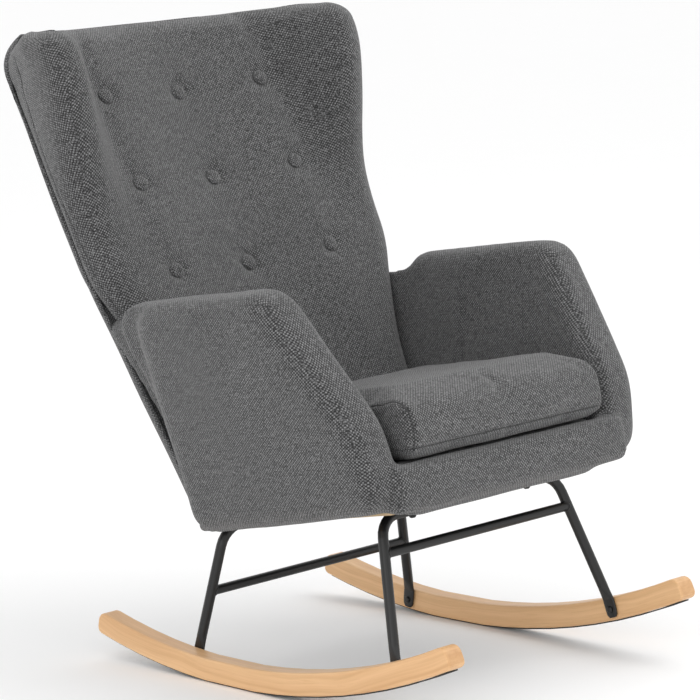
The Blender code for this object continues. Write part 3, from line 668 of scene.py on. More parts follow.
@dataclass(frozen=True)
class Cloth(Finish):
    """Woven upholstery cloth, laid square to a piece's own axes."""

    turn: float = 0.0
    thread: float = 0.0025
    dark: tuple[float, float, float] = (0.020, 0.020, 0.0205)
    light: tuple[float, float, float] = (0.245, 0.245, 0.248)
    relief: float = 0.0011
    sheen: float = 0.25
    sharpness: float = 14.0
    stretch: float = 0.006
    heather_scale: float = 400.0
    wrinkle_scale: float = 32.0
    wrinkle_depth: float = 0.0022

    def make(self) -> bpy.types.Material:
        """Builds the material.

        Returns:
            A cloth whose weave lies flat on all six sides of a piece.
        """
        made, graph, shader = self.start()
        coords = graph.node("ShaderNodeTexCoord")
        spun = graph.node("ShaderNodeMapping", vector_type="POINT")
        spun.inputs["Rotation"].default_value = (self.turn, 0.0, 0.0)
        graph.feed(spun.inputs["Vector"], coords.outputs["Object"])
        wobble = graph.node("ShaderNodeTexNoise")
        wobble.inputs["Scale"].default_value = 14.0
        wobble.inputs["Detail"].default_value = 1.0
        graph.feed(wobble.inputs["Vector"], spun.outputs[0])
        drift = graph.node("ShaderNodeVectorMath", operation="MULTIPLY_ADD")
        graph.feed(drift.inputs[0], wobble.outputs["Color"])
        drift.inputs[1].default_value = (self.stretch, self.stretch, self.stretch)
        graph.feed(drift.inputs[2], spun.outputs[0])
        facing = graph.node("ShaderNodeMapping", vector_type="NORMAL")
        facing.inputs["Rotation"].default_value = (self.turn, 0.0, 0.0)
        graph.feed(facing.inputs["Vector"], coords.outputs["Normal"])
        x, y, z = [graph.math("DIVIDE", part, self.thread) for part in graph.split(drift.outputs[0])]
        shares = [graph.math("POWER", graph.math("ABSOLUTE", part), self.sharpness)
                  for part in graph.split(facing.outputs[0])]
        whole = graph.math("ADD", graph.math("ADD", shares[0], shares[1]), graph.math("ADD", shares[2], 0.0001))
        height, tone = None, None
        for share, (u, v) in zip(shares, ((y, z), (x, z), (x, y))):
            weave = graph.node("ShaderNodeGroup", node_tree=weave_group())
            graph.feed(weave.inputs["U"], u)
            graph.feed(weave.inputs["V"], v)
            part = graph.math("DIVIDE", share, whole)
            height = graph.math("MULTIPLY_ADD", weave.outputs["Height"], part, height or 0.0)
            tone = graph.math("MULTIPLY_ADD", weave.outputs["Tone"], part, tone or 0.0)
        heather = graph.noise(spun.outputs[0], self.heather_scale, 1.0, 0.6)
        cloud = graph.noise(spun.outputs[0], 9.0, 3.0, 0.55)
        slub = graph.math("MULTIPLY_ADD", heather, 2.3, graph.math("MULTIPLY", tone, 1.9))
        shade = graph.math("SUBTRACT", slub, 1.75)
        thread_colour = graph.paint(shade, (*self.dark, 1.0), (*self.light, 1.0))
        # Painted shade: the thread colour is darkened in the hollows between the threads, down to 40 per cent
        # where the weave is lowest, then mottled at random by the slow cloud noise.
        depth = graph.math("MULTIPLY_ADD", height, 0.66, 0.40)
        depth = graph.math("MULTIPLY", depth, graph.math("MULTIPLY_ADD", cloud, 0.22, 0.89))
        colour = graph.paint(1.0, thread_colour, graph.join(depth, depth, depth), "MULTIPLY")
        graph.feed(shader.inputs["Base Color"], colour)
        graph.feed(shader.inputs["Roughness"], graph.math("MULTIPLY_ADD", height, -0.12, 0.96))
        wrinkle = graph.noise(spun.outputs[0], self.wrinkle_scale, 3.0, 0.5)
        slow = graph.bump(wrinkle, self.wrinkle_depth, 0.35)
        graph.feed(shader.inputs["Normal"], graph.bump(height, self.relief, 0.50, slow))
        shader.inputs["Sheen Weight"].default_value = self.sheen
        shader.inputs["Sheen Roughness"].default_value = 0.55
        shader.inputs["Specular IOR Level"].default_value = 0.25
        return made


@dataclass(frozen=True)
class BentWood(Finish):
    """Lacquered light hardwood, with its grain running along an arc."""

    centre: tuple[float, float] = (0.0, 1.279)
    pale: tuple[float, float, float] = (0.80, 0.505, 0.260)
    deep: tuple[float, float, float] = (0.58, 0.315, 0.135)
    end_grain: tuple[float, float, float] = (0.40, 0.205, 0.085)

    def make(self) -> bpy.types.Material:
        """Builds the material.

        Returns:
            Wood with long growth lines, short pores and darker cut ends.
        """
        made, graph, shader = self.start()
        coords = graph.node("ShaderNodeTexCoord")
        x, y, z = graph.split(coords.outputs["Object"])
        across = graph.math("SUBTRACT", y, self.centre[0])
        below = graph.math("SUBTRACT", self.centre[1], z)
        angle = graph.math("ARCTAN2", across, below)
        radius = graph.math("SQRT", graph.math("ADD", graph.math("MULTIPLY", across, across),
                                               graph.math("MULTIPLY", below, below)))
        along = graph.math("MULTIPLY", angle, self.centre[1])
        bend = graph.noise(graph.join(graph.math("MULTIPLY", x, 3.0), along, radius), 3.2, 2.0)
        layer = graph.math("MULTIPLY_ADD", bend, 0.05, radius)
        lines = graph.noise(graph.join(graph.math("MULTIPLY", x, 90.0), graph.math("MULTIPLY", along, 2.2),
                                       graph.math("MULTIPLY", layer, 150.0)), 1.0, 4.0, 0.6)
        fine = graph.noise(graph.join(graph.math("MULTIPLY", x, 620.0), graph.math("MULTIPLY", along, 14.0),
                                      graph.math("MULTIPLY", radius, 760.0)), 1.0, 2.0, 0.6)
        broad = graph.noise(graph.join(graph.math("MULTIPLY", x, 12.0), graph.math("MULTIPLY", along, 1.6),
                                       graph.math("MULTIPLY", radius, 20.0)), 1.0, 2.0)
        ramp = graph.node("ShaderNodeValToRGB")
        ramp.color_ramp.elements[0].position = 0.30
        ramp.color_ramp.elements[0].color = (*self.deep, 1.0)
        ramp.color_ramp.elements[1].position = 0.62
        ramp.color_ramp.elements[1].color = (*self.pale, 1.0)
        mixed = graph.math("MULTIPLY_ADD", lines, 0.55, graph.math("MULTIPLY", broad, 0.45))
        graph.feed(ramp.inputs[0], mixed)
        pores = graph.math("LESS_THAN", fine, 0.36)
        coloured = graph.paint(graph.math("MULTIPLY", pores, 0.35), ramp.outputs[0], (*self.deep, 1.0))
        facing = graph.split(coords.outputs["Normal"])
        tip = graph.math("ADD", graph.math("MULTIPLY", facing[1], graph.math("COSINE", angle)),
                         graph.math("MULTIPLY", facing[2], graph.math("SINE", angle)))
        end = graph.math("POWER", graph.math("ABSOLUTE", tip), 6.0)
        coloured = graph.paint(graph.math("MULTIPLY", end, 0.45), coloured, (*self.end_grain, 1.0))
        graph.feed(shader.inputs["Base Color"], coloured)
        graph.feed(shader.inputs["Roughness"], graph.math("MULTIPLY_ADD", lines, 0.16, 0.36))
        surface = graph.math("SUBTRACT", lines, graph.math("MULTIPLY", pores, 0.4))
        graph.feed(shader.inputs["Normal"], graph.bump(surface, 0.0004, 0.35))
        shader.inputs["Coat Weight"].default_value = 0.12
        shader.inputs["Coat Roughness"].default_value = 0.35
        return made


@dataclass(frozen=True)
class Plain(Finish):
    """A finish of one colour broken by grain, specks and wear."""

    colour: tuple[float, float, float] = (0.5, 0.5, 0.5)
    second: tuple[float, float, float] = (0.4, 0.4, 0.4)
    stretch: tuple[float, float, float] = (1.0, 1.0, 1.0)
    scale: float = 60.0
    speck: float = 900.0
    roughness: float = 0.6
    spread: float = 0.2
    relief: float = 0.0003
    metallic: float = 0.0

    def make(self) -> bpy.types.Material:
        """Builds the material.

        Returns:
            One colour drifting into a second, with specks in its roughness and relief.
        """
        made, graph, shader = self.start()
        sized = graph.node("ShaderNodeMapping", vector_type="POINT")
        sized.inputs["Scale"].default_value = self.stretch
        graph.feed(sized.inputs["Vector"], self.place(graph))
        broad = graph.noise(sized.outputs[0], self.scale, 4.0, 0.6)
        fine = graph.noise(sized.outputs[0], self.speck, 2.0, 0.6)
        share = graph.math("MULTIPLY_ADD", fine, 0.4, graph.math("MULTIPLY", broad, 0.6))
        graph.feed(shader.inputs["Base Color"], graph.paint(share, (*self.colour, 1.0), (*self.second, 1.0)))
        rough = graph.math("MULTIPLY_ADD", broad, self.spread, self.roughness - self.spread / 2)
        graph.feed(shader.inputs["Roughness"], rough)
        graph.feed(shader.inputs["Normal"], graph.bump(share, self.relief, 0.4))
        shader.inputs["Metallic"].default_value = self.metallic
        return made


def dress(piece: bpy.types.Object, material: bpy.types.Material) -> None:
    """Gives the whole piece one material."""
    piece.data.materials.clear()
    piece.data.materials.append(material)


# ------------------------------------------------------------------ upholstery
@dataclass
class SeatCushion:
    """The loose cushion: a foam block blown up in its sewn cover, with a boxed seam."""

    node: str = "seat_cushion"
    shrink: float = 0.0050
    voxel: float = 0.0055
    pressure: float = 4.0
    most_up: float = 0.020
    most_side: float = 0.0050
    most_front: float = 0.012
    most_down: float = 0.0045
    most_rear: float = 0.0020
    seam_rise: float = 0.017
    seam_inset: float = 0.010
    seam_width: float = 0.0024
    seam_press: float = 0.0012
    cord: float = 0.0007
    boxed_arc: tuple[float, float] = (-208, 236)
    panel_arc: tuple[float, float] = (62, 138)
    outside: float = 0.6
    panel_taper: float = 0.055

    def local(self, points: np.ndarray) -> np.ndarray:
        """Rows of points in the seat's axes."""
        return into(AXES.seat.inverted(), points)

    def build(self, cloth: bpy.types.Material, thread: bpy.types.Material) -> list[bpy.types.Object]:
        """Makes the cushion and its seams.

        Args:
            cloth: the cover's finish.
            thread: the seams' finish, a dark cloth for the cords in the seam grooves: the stitching line, darkened
                as painted shade of the groove.

        Returns:
            The cushion and its seam cords.
        """
        piece = cast_of("seat_cushion_cover", [self.node])
        remesh(piece, self.voxel, 3)
        set_points(piece, points_of(piece) - normals_of(piece) * self.shrink)
        self.puff(piece)
        subdivide(piece)
        ripple(piece, 11.0, 0.0022, 3.1)
        lines = self.seam_lines(piece)
        for line in lines:
            groove(piece, line, self.seam_width, self.seam_press)
        cord = cord_along("seat_cushion_seams", lines, self.cord)
        dress(piece, cloth)
        # The dark seam cloth on the cords is the stitching line with painted shade of the groove.
        dress(cord, thread)
        for made in (piece, cord):
            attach(made, CUSHION)
        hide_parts(self.node)
        return [piece, cord]

    def puff(self, piece: bpy.types.Object) -> None:
        """Blows the cover up, held in by the arms, the back and the deck.

        Args:
            piece: the cover.
        """
        turn = np.array(AXES.seat.inverted())[:3, :3]
        moved = inflate(piece, self.pressure) @ turn.T
        moved[:, 0] = np.clip(moved[:, 0], -self.most_side, self.most_side)
        moved[:, 1] = np.clip(moved[:, 1], -self.most_front, self.most_rear)
        moved[:, 2] = np.clip(moved[:, 2], -self.most_down, self.most_up)
        set_points(piece, points_of(piece) + moved @ turn)

    def seam_lines(self, piece: bpy.types.Object) -> list[np.ndarray]:
        """The boxed seam round the cushion and the seams down its two sides.

        Args:
            piece: the finished cover.

        Returns:
            Rows of points on the skin, one array to a seam.
        """
        skin = skin_of(piece)
        here = self.local(points_of(piece))
        low, high = here.min(axis=0), here.max(axis=0)
        middle = (low + high) / 2
        seat = AXES.seat
        boxed = []
        for k in range(201):
            angle = math.radians(self.boxed_arc[0] + self.boxed_arc[1] * k / 200)
            ray = Vector((math.cos(angle), math.sin(angle), 0.0))
            start = Vector((middle[0], middle[1], low[2] + self.seam_rise)) + ray * self.outside
            hit = skin.ray_cast(seat @ start, seat.to_3x3() @ -ray)[0]
            if hit:
                boxed.append(np.array(hit))
        lines = [np.array(boxed)]
        for side in Side:
            panel = []
            for k in range(141):
                angle = math.radians(self.panel_arc[0] + self.panel_arc[1] * k / 140)
                ray = Vector((0.0, math.cos(angle), math.sin(angle)))
                front = (middle[1] - low[1]) * 0.55
                inward = side.value * (high[0] - self.seam_inset)
                start = Vector((inward, middle[1] - front * 0.6, middle[2])) + ray * self.outside
                taper = 1 - self.panel_taper * max(0.0, -ray.y)
                start.x *= taper
                hit = skin.ray_cast(seat @ start, seat.to_3x3() @ -ray)[0]
                if hit and (seat.inverted() @ hit).z > low[2] + self.seam_rise:
                    panel.append(np.array(hit))
            lines.append(np.array(panel))
        return lines


@dataclass
class ArmTub:
    """Both arms, the rails between them and the apron, covered as one tub."""

    voxel: float = 0.0050
    smoothing: int = 18
    apron_stretch: float = 1.13
    crown: float = 0.0050
    reach: tuple[float, float] = (0.24, 0.19)
    heart: tuple[float, float] = (-0.10, 0.16)
    half_board: float = 0.0090
    through: float = 0.0200
    half_thickness: float = 0.0375
    lower_padding: float = 0.022
    arm_height: float = 0.33
    rail_cover: float = 0.0055
    front_trim: float = 0.015
    trim_run: float = 0.13
    belly_foot: float = 0.01
    belly_height: float = 0.36
    underside: float = 0.004
    fill_from: float = 0.15
    fill_run: float = 0.25
    near_arm: float = 0.15
    into_back: float = 0.050

    def lower_fill(self, y: np.ndarray, z: np.ndarray) -> np.ndarray:
        """How much thicker the inner padding is towards the seat's rear corner."""
        rearward = smoothstep((y + self.fill_from) / self.fill_run)
        return self.lower_padding * rearward * np.clip(1 - z / self.arm_height, 0.0, 1.0)

    def reshape(self, node: str, points: np.ndarray) -> np.ndarray:
        """Closes the arm's layers over its board, and widens the apron to meet the arms.

        Args:
            node: the copied solid's name.
            points: its points.

        Returns:
            The moved points.
        """
        if node == "front_apron_pad":
            return points * [self.apron_stretch, 1.0, 1.0]
        if "rail" in node:
            middle = (points.min(axis=0) + points.max(axis=0)) / 2
            below = (points[:, 2] < middle[2])[:, None] * [0.0, 0.0, self.underside]
            return points + np.sign(points - middle) * self.rail_cover - below
        for side in Side:
            if node.startswith("arm_pad") and node.endswith(side.word):
                local = into(AXES.arm(side).inverted(), points)
                across = local[:, 0] * side.value
                if "outer" in node:
                    across = np.where(across < self.half_board, -self.through, across)
                else:
                    fill = self.lower_fill(local[:, 1], local[:, 2])
                    across = np.where(across > -self.half_board, self.through, across - fill)
                local[:, 0] = across * side.value
                ahead = smoothstep((-self.trim_run - local[:, 1]) / self.trim_run)
                belly = np.sin(math.pi * np.clip((local[:, 2] - self.belly_foot) / self.belly_height, 0.0, 1.0))
                local[:, 1] += self.front_trim * ahead * belly
                return into(AXES.arm(side), local)
        return points

    def infill(self, side: Side) -> bpy.types.Object:
        """The padding that carries an arm's inner face on to the side of the back.

        Args:
            side: which arm.

        Returns:
            A block, for the cast only.
        """
        rings = []
        for z in np.linspace(0.004, self.arm_height - 0.008, 14):
            above = AXES.arm_foot[1] + z * math.cos(AXES.arm_flare) - AXES.back_foot[2]
            overlap = self.into_back / math.cos(AXES.back_recline)
            rear = AXES.back_foot[1] + above * math.tan(AXES.back_recline) + overlap
            inner = -self.half_thickness - float(self.lower_fill(np.array(0.12), np.array(z)))
            ring = []
            climb = float(z) / self.arm_height
            for across, y, rise in ((inner, 0.02, 0.004), (inner, rear, -0.012), (-0.014, rear, -0.030),
                                    (-0.008, 0.02, 0.004)):
                ring.append((across * side.value, y, float(z) + rise * climb**4))
            rings.append(ring)
        return loft("arm_infill", rings, AXES.arm(side))

    def build(self, cloth: bpy.types.Material) -> list[bpy.types.Object]:
        """Makes the tub.

        Args:
            cloth: the cover's finish.

        Returns:
            The tub.
        """
        soft = ["front_apron_pad"]
        for side in Side:
            soft += [f"arm_pad_outer_{side.word}", f"arm_pad_inner_{side.word}"]
        inside = ["seat_front_rail", "seat_rear_rail", "seat_side_rail_left", "seat_side_rail_right"]
        piece = cast_of("arm_tub_cover", soft + inside, self.reshape, [self.infill(side) for side in Side])
        remesh(piece, self.voxel, self.smoothing)
        points = points_of(piece)
        for side in Side:
            local = into(AXES.arm(side).inverted(), points)
            near = (points[:, 0] * side.value) > self.near_arm
            away_y = np.clip((local[:, 1] - self.heart[0]) / self.reach[0], -1, 1)
            away_z = np.clip((local[:, 2] - self.heart[1]) / self.reach[1], -1, 1)
            lift = self.crown * (1 - away_y**2) * (1 - away_z**2) * np.sign(local[:, 0]) * near
            shift = np.array(AXES.arm(side).to_3x3() @ Vector((1.0, 0.0, 0.0)))
            points = points + lift[:, None] * shift
        set_points(piece, points)
        ripple(piece, 8.0, 0.0030, 11.4)
        dress(piece, cloth)
        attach(piece, CHAIR)
        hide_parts(*soft)
        return [piece]


@dataclass
class BackCover:
    """The back's front cover, which runs out over the wings, and the panel behind it."""

    low: float = -0.0215
    top: float = 0.808
    top_roll: float = 0.030
    front_widths: tuple[tuple[float, ...], tuple[float, ...]] = (
        (-0.02, 0.10, 0.20, 0.29, 0.37, 0.50), (0.214, 0.224, 0.241, 0.272, 0.302, 0.303))
    rear_widths: tuple[tuple[float, ...], tuple[float, ...]] = ((-0.02, 0.36, 0.50), (0.262, 0.299, 0.299))
    hollow: float = 0.020
    column: float = 0.162
    seam_depth: float = 0.0460
    board_front: float = 0.0397
    board_rear: float = 0.0523
    wing_shares: tuple[float, ...] = (0.0, 0.44, 0.52, 0.58, 0.64, 0.705, 0.79, 0.877, 0.93, 0.97, 1.0)
    wing_reaches: tuple[float, ...] = (0.0, 0.0, 0.004, 0.010, 0.020, 0.040, 0.071, 0.099, 0.111, 0.113, 0.110)
    most_reach: float = 0.113
    wing_bulge: float = 0.019
    low_roll: float = 0.045
    roll: float = 0.040
    limit: float = 0.034
    rear_low: float = 0.104
    rear_high: float = 0.061
    rear_crown: float = 0.009
    rear_corner: float = 0.044
    seam_line: float = 0.028
    seam_from: float = 0.33
    seam_to: float = 0.775
    corner_start: float = 0.88
    corner_round: float = 0.115
    rows: tuple[float, float, float] = (0.378, 0.532, 0.688)
    tuft: float = 0.0082
    tuft_width: float = 0.0175
    pull: float = 0.0030
    pull_width: float = 0.048
    ear: float = 0.0085
    waist: float = 0.0030
    seam_width: float = 0.0030
    seam_press: float = 0.0016
    cord: float = 0.0006

    def slope(self, share: float) -> float:
        """How steeply the cut edges run: along the seat at the bottom, level at the top."""
        low = math.tan(AXES.back_recline - AXES.seat_pitch)
        return low * (1 - share) + math.tan(AXES.back_recline) * share

    def height(self, share: float, depth: float) -> float:
        """Height up the back at a share of it."""
        return self.low + (self.top - self.low) * share + self.slope(share) * depth

    def half_width(self, share: float, rear: bool = False) -> float:
        """Half the back's width at a share of its height.

        Args:
            share: share of the back's height.
            rear: whether the rear panel is meant, which spans the arms; the front cover narrows between them.

        Returns:
            The half width.
        """
        ups, widths = self.rear_widths if rear else self.front_widths
        up = self.height(share, 0.0)
        spots = [float(np.interp(up + step, ups, widths)) for step in np.linspace(-0.03, 0.03, 7)]
        return float(np.mean(spots))

    def reach(self, share: float) -> float:
        """How far the sides stand forward of the middle at a share of the height."""
        return float(np.interp(share, self.wing_shares, self.wing_reaches))

    def soft_reach(self, share: float) -> float:
        """The reach with its corners rounded."""
        steps = np.linspace(-0.03, 0.03, 9)
        return float(np.mean([self.reach(min(1.0, max(0.0, share + step))) for step in steps]))

    def wing_share(self, share: float) -> float:
        """How much of a wing there is at a share of the height, from 0 to 1."""
        return self.soft_reach(share) / self.most_reach

    def front_depth(self, x: float, share: float) -> float:
        """Depth of the hollow front at x, which fades out towards the seat."""
        across = min(1.0, abs(x) / self.column)
        return self.hollow * (1 - across**2) ** 1.4 * float(smoothstep(share / 0.35))

    def front_half(self, share: float) -> list[tuple[float, float]]:
        """The front cover's section from the middle out to the seam on its side.

        Args:
            share: share of the back's height.

        Returns:
            Points (x, depth).
        """
        reach = self.soft_reach(share)
        wing = self.wing_share(share)
        width = self.half_width(share) + self.wing_bulge * wing
        roll = self.low_roll + (self.roll - self.low_roll) * wing
        crest = width - roll
        start = crest - (0.075 + 0.030 * wing)
        half = []
        for x in np.linspace(0.0, crest, 64):
            rise = float(smoothstep((x - start) / (crest - start)))
            half.append((x, self.front_depth(x, share) - reach * rise))
        for k in range(1, 13):
            angle = math.pi / 2 * k / 12
            half.append((crest + roll * math.sin(angle), -reach + roll * (1 - math.cos(angle))))
        begin, end = half[-1][1], self.seam_depth - 0.0055
        inward = self.wing_bulge * wing * 1.30
        for k in range(1, 25):
            along = k / 24
            half.append((width - inward * along**2, begin + (end - begin) * along))
        side = half[-1][0]
        half += [(side - 0.0004, end + 0.0025), (side - 0.0016, end + 0.0044), (side - 0.0040, end + 0.0053)]
        return half

    def rear_half(self, share: float) -> list[tuple[float, float]]:
        """The rear panel's section from its middle out to the seam on its side.

        Args:
            share: share of the back's height.

        Returns:
            Points (x, depth).
        """
        width = max(self.half_width(share, rear=True), self.front_half(share)[-1][0] + 0.004)
        rear = self.rear_low + (self.rear_high - self.rear_low) * share
        flat = rear - self.rear_crown * (0.5 + 0.5 * min(1.0, 2 - 2 * share))
        corner = max(0.004, min(self.rear_corner, flat - self.seam_depth - 0.0065))
        spread = corner * 1.35 + 0.045 * share
        inner = width - spread
        half = []
        for x in np.linspace(0.0, inner, 30):
            half.append((x, flat + (rear - flat) * (1 - (x / inner) ** 2)))
        for k in range(1, 13):
            angle = math.pi / 2 * k / 12
            half.append((inner + spread * math.sin(angle), flat - corner * (1 - math.cos(angle))))
        begin, end = half[-1][1], self.seam_depth + 0.0062
        for k in range(1, 5):
            half.append((width, begin + (end - begin) * k / 4))
        half += [(width - 0.0004, end - 0.0025), (width - 0.0016, end - 0.0044), (width - 0.0040, end - 0.0053)]
        return half

    def ring(self, share: float, half: list[tuple[float, float]], sign: float, fold: float) -> Ring:
        """One closed ring from half a section, folded in by the top or bottom roll.

        Args:
            share: share of the back's height.
            half: the half section.
            sign: -1 where the section faces front, 1 where it faces the rear.
            fold: how far the skin is folded in, from 0 to 1.

        Returns:
            The ring, in the back's axes.
        """
        outline = [(-x, n) for x, n in reversed(half)] + half[1:]
        board = self.board_front if sign < 0 else self.board_rear
        points = np.array(outline)
        ahead = np.gradient(points, axis=0)
        ahead /= np.linalg.norm(ahead, axis=1)[:, None]
        normal = np.stack([ahead[:, 1], -ahead[:, 0]], axis=1) * (-sign)
        room = np.abs(half[-1][1] - points[:, 1]) * 0.97
        face = np.abs(normal[:, 1])
        depth = self.limit * (1 - face) + face * np.minimum(self.limit, room)
        moved = points - normal * (depth * fold)[:, None]
        rise = max(0.0, share - self.corner_start) * (self.top - self.low)
        inset = self.corner_round - math.sqrt(max(0.0, self.corner_round**2 - rise**2))
        behind = smoothstep((moved[:, 1] + 0.045) / 0.07)
        aside = np.clip((np.abs(moved[:, 0]) - 0.10) / 0.20, 0.0, 1.0)
        moved[:, 0] -= np.sign(moved[:, 0]) * inset * behind * aside
        inner = abs(moved[0, 0]) - 0.001
        backing = [(float(np.clip(x, -inner, inner)), board) for x, _ in moved[::-1]]
        return [(float(x), float(n), self.height(share, float(n))) for x, n in [*moved, *backing]]

    def rings(self, sign: float) -> list[Ring]:
        """All rings of the front cover or the rear panel, from the bottom to the top.

        Args:
            sign: -1 for the front cover, 1 for the rear panel.

        Returns:
            The rings, in the back's axes.
        """
        section = self.front_half if sign < 0 else self.rear_half
        made = []
        for k in range(5):
            angle = math.pi / 2 * k / 5
            share = 0.012 * math.sin(angle)
            made.append(self.ring(share, section(share), sign, 0.28 * (1 - math.sin(angle))))
        whole = 1 - self.top_roll / (self.top - self.low)
        for share in np.linspace(0.016, whole, 200):
            made.append(self.ring(float(share), section(float(share)), sign, 0.0))
        for k in range(1, 13):
            angle = math.pi / 2 * k / 12
            share = whole + (1 - whole) * math.sin(angle)
            made.append(self.ring(share, section(share), sign, 1 - math.cos(angle)))
        return made

    def press_tufts(self, piece: bpy.types.Object) -> None:
        """Draws the front in round each button, with faint pulls between neighbours.

        Args:
            piece: the front cover.
        """
        points = into(AXES.back.inverted(), points_of(piece))
        facing = points[:, 1] < self.board_front - 0.004
        sink = np.zeros(len(points))
        for row in self.rows:
            for column in (-self.column, 0.0, self.column):
                dx, dz = points[:, 0] - column, points[:, 2] - row
                away = np.hypot(dx, dz)
                star = 1 + 0.07 * np.cos(5 * np.arctan2(dz, dx) + column * 20 + row * 9)
                sink += self.tuft * np.exp(-((away / (self.tuft_width * star)) ** 2))
                sink += self.pull * np.exp(-((away / self.pull_width) ** 2))
        points[:, 1] += sink * facing
        set_points(piece, into(AXES.back, points))

    def swell_ears(self, piece: bpy.types.Object) -> None:
        """Fills the top rear corners out into soft rounded ears.

        Args:
            piece: the front cover or the rear panel.
        """
        points = into(AXES.back.inverted(), points_of(piece))
        normals = normals_of(piece)
        lift = np.zeros(len(points))
        for side in Side:
            ear = (points - [side.value * 0.292, 0.012, 0.785]) / [0.040, 0.045, 0.030]
            lift += self.ear * np.exp(-(np.linalg.norm(ear, axis=1) ** 2))
            waist = (points - [side.value * 0.310, 0.012, 0.735]) / [0.030, 0.060, 0.016]
            lift -= self.waist * np.exp(-(np.linalg.norm(waist, axis=1) ** 2))
        set_points(piece, points_of(piece) + normals * lift[:, None])

    def side_seams(self, piece: bpy.types.Object) -> list[np.ndarray]:
        """The stitched seams that run down the two sides of the front cover.

        Args:
            piece: the front cover.

        Returns:
            Rows of points on the skin, one array to a side.
        """
        skin = skin_of(piece)
        lines = []
        for side in Side:
            line = []
            for up in np.linspace(self.seam_from, self.seam_to, 150):
                depth = self.seam_line - 0.020 * float(smoothstep((up - 0.60) / 0.18))
                start = AXES.back @ Vector((side.value * 0.5, depth, float(up)))
                hit = skin.ray_cast(start, AXES.back.to_3x3() @ Vector((-side.value, 0.0, 0.0)))[0]
                if hit:
                    line.append(np.array(hit))
            lines.append(np.array(line))
        return lines

    def build(self, cloth: bpy.types.Material, thread: bpy.types.Material) -> list[bpy.types.Object]:
        """Makes the front cover, the rear panel and the seams down their sides.

        Args:
            cloth: the covers' finish.
            thread: the seams' finish, a dark cloth for the cords in the seam grooves: the stitching line, darkened
                as painted shade of the groove.

        Returns:
            The three pieces.
        """
        front = loft("back_front_cover", self.rings(-1.0), AXES.back)
        self.press_tufts(front)
        rear = loft("back_rear_cover", self.rings(1.0), AXES.back)
        for piece, seed in ((front, 5.2), (rear, 8.8)):
            self.swell_ears(piece)
            ripple(piece, 7.0, 0.0022, seed)
            if piece is front:
                for line in self.side_seams(piece):
                    groove(piece, line, self.seam_width, self.seam_press)
                cord = cord_along("back_side_seams", self.side_seams(piece), self.cord)
            dress(piece, cloth)
            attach(piece, CHAIR)
        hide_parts("back_pad_front", *[f"wing_pad_{side.word}" for side in Side])
        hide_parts("back_pad_rear")
        # The dark seam cloth on the cords is the stitching line with painted shade of the groove.
        dress(cord, thread)
        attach(cord, CHAIR)
        return [front, rear, cord]


@dataclass
class TuftButtons:
    """Nine cloth-covered buttons, each domed over its shell and drawn in under its rim."""

    radius: float = 0.0129
    dome: float = 0.0042
    skirt: float = 0.0072
    sides: int = 40
    count: int = 9
    clearance: float = 0.0006

    def profile(self) -> list[tuple[float, float]]:
        """Radius and height of the button's skin, from under its rim to its crown.

        Returns:
            The points, from the foot up.
        """
        rim = self.skirt * 0.55
        under = [(self.radius * 0.80, 0.0), (self.radius * 0.95, self.skirt * 0.15), (self.radius, rim)]
        over = []
        for k in range(1, 11):
            angle = math.pi / 2 * k / 11
            over.append((self.radius * math.cos(angle) ** 0.62, rim + self.dome * math.sin(angle)))
        return under + over

    def build(self, cloth: bpy.types.Material) -> list[bpy.types.Object]:
        """Makes the buttons where the frame's buttons are.

        Args:
            cloth: the buttons' finish.

        Returns:
            The nine buttons.
        """
        made = []
        turn = AXES.back.to_3x3().to_4x4() @ Matrix.Rotation(math.pi / 2, 4, "X")
        for number in range(1, self.count + 1):
            node = f"back_button_{number}"
            solid = into(AXES.back.inverted(), points_of(frame["nodes"][node]))
            low, high = solid.min(axis=0), solid.max(axis=0)
            foot = AXES.back @ Vector(((low[0] + high[0]) / 2, high[1] + self.clearance, (low[2] + high[2]) / 2))
            rings = []
            for radius, height in self.profile():
                ring = []
                for k in range(self.sides):
                    angle = 2 * math.pi * k / self.sides
                    ring.append((radius * math.cos(angle), radius * math.sin(angle), height))
                rings.append(ring)
            piece = loft(f"back_button_cover_{number}", rings, Matrix.Translation(foot) @ turn)
            dress(piece, cloth)
            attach(piece, CHAIR)
            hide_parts(node)
            made.append(piece)
        return made


@dataclass
class InnerBoards:
    """The timber boards that the back, the wings and the arms are padded on, seen only if the cover is off."""

    shrink: dict[str, float] = field(default_factory=lambda: {"back": 0.925, "wing": 0.84, "arm": 0.90})
    eased: float = 0.0008

    def drawn_in(self, node: str, points: np.ndarray) -> np.ndarray:
        """Draws a board's points in towards their middle.

        Args:
            node: the board's name.
            points: its points.

        Returns:
            The moved points.
        """
        share = self.shrink[node.split("_")[0]]
        middle = (points.min(axis=0) + points.max(axis=0)) / 2
        return middle + (points - middle) * share

    def build(self, timber: bpy.types.Material) -> list[bpy.types.Object]:
        """Makes each board, a little smaller than the room its cover leaves.

        Args:
            timber: the boards' finish.

        Returns:
            The boards.
        """
        made = []
        nodes = ["back_board"] + [f"{kind}_board_{side.word}" for kind in ("wing", "arm") for side in Side]
        for node in nodes:
            piece = cast_of(f"inner_{node}", [node], self.drawn_in)
            bevel = piece.modifiers.new("eased_edges", "BEVEL")
            bevel.width = self.eased
            bevel.segments = 2
            apply_modifiers(piece)
            dress(piece, timber)
            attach(piece, CHAIR)
            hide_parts(node)
            made.append(piece)
        return made


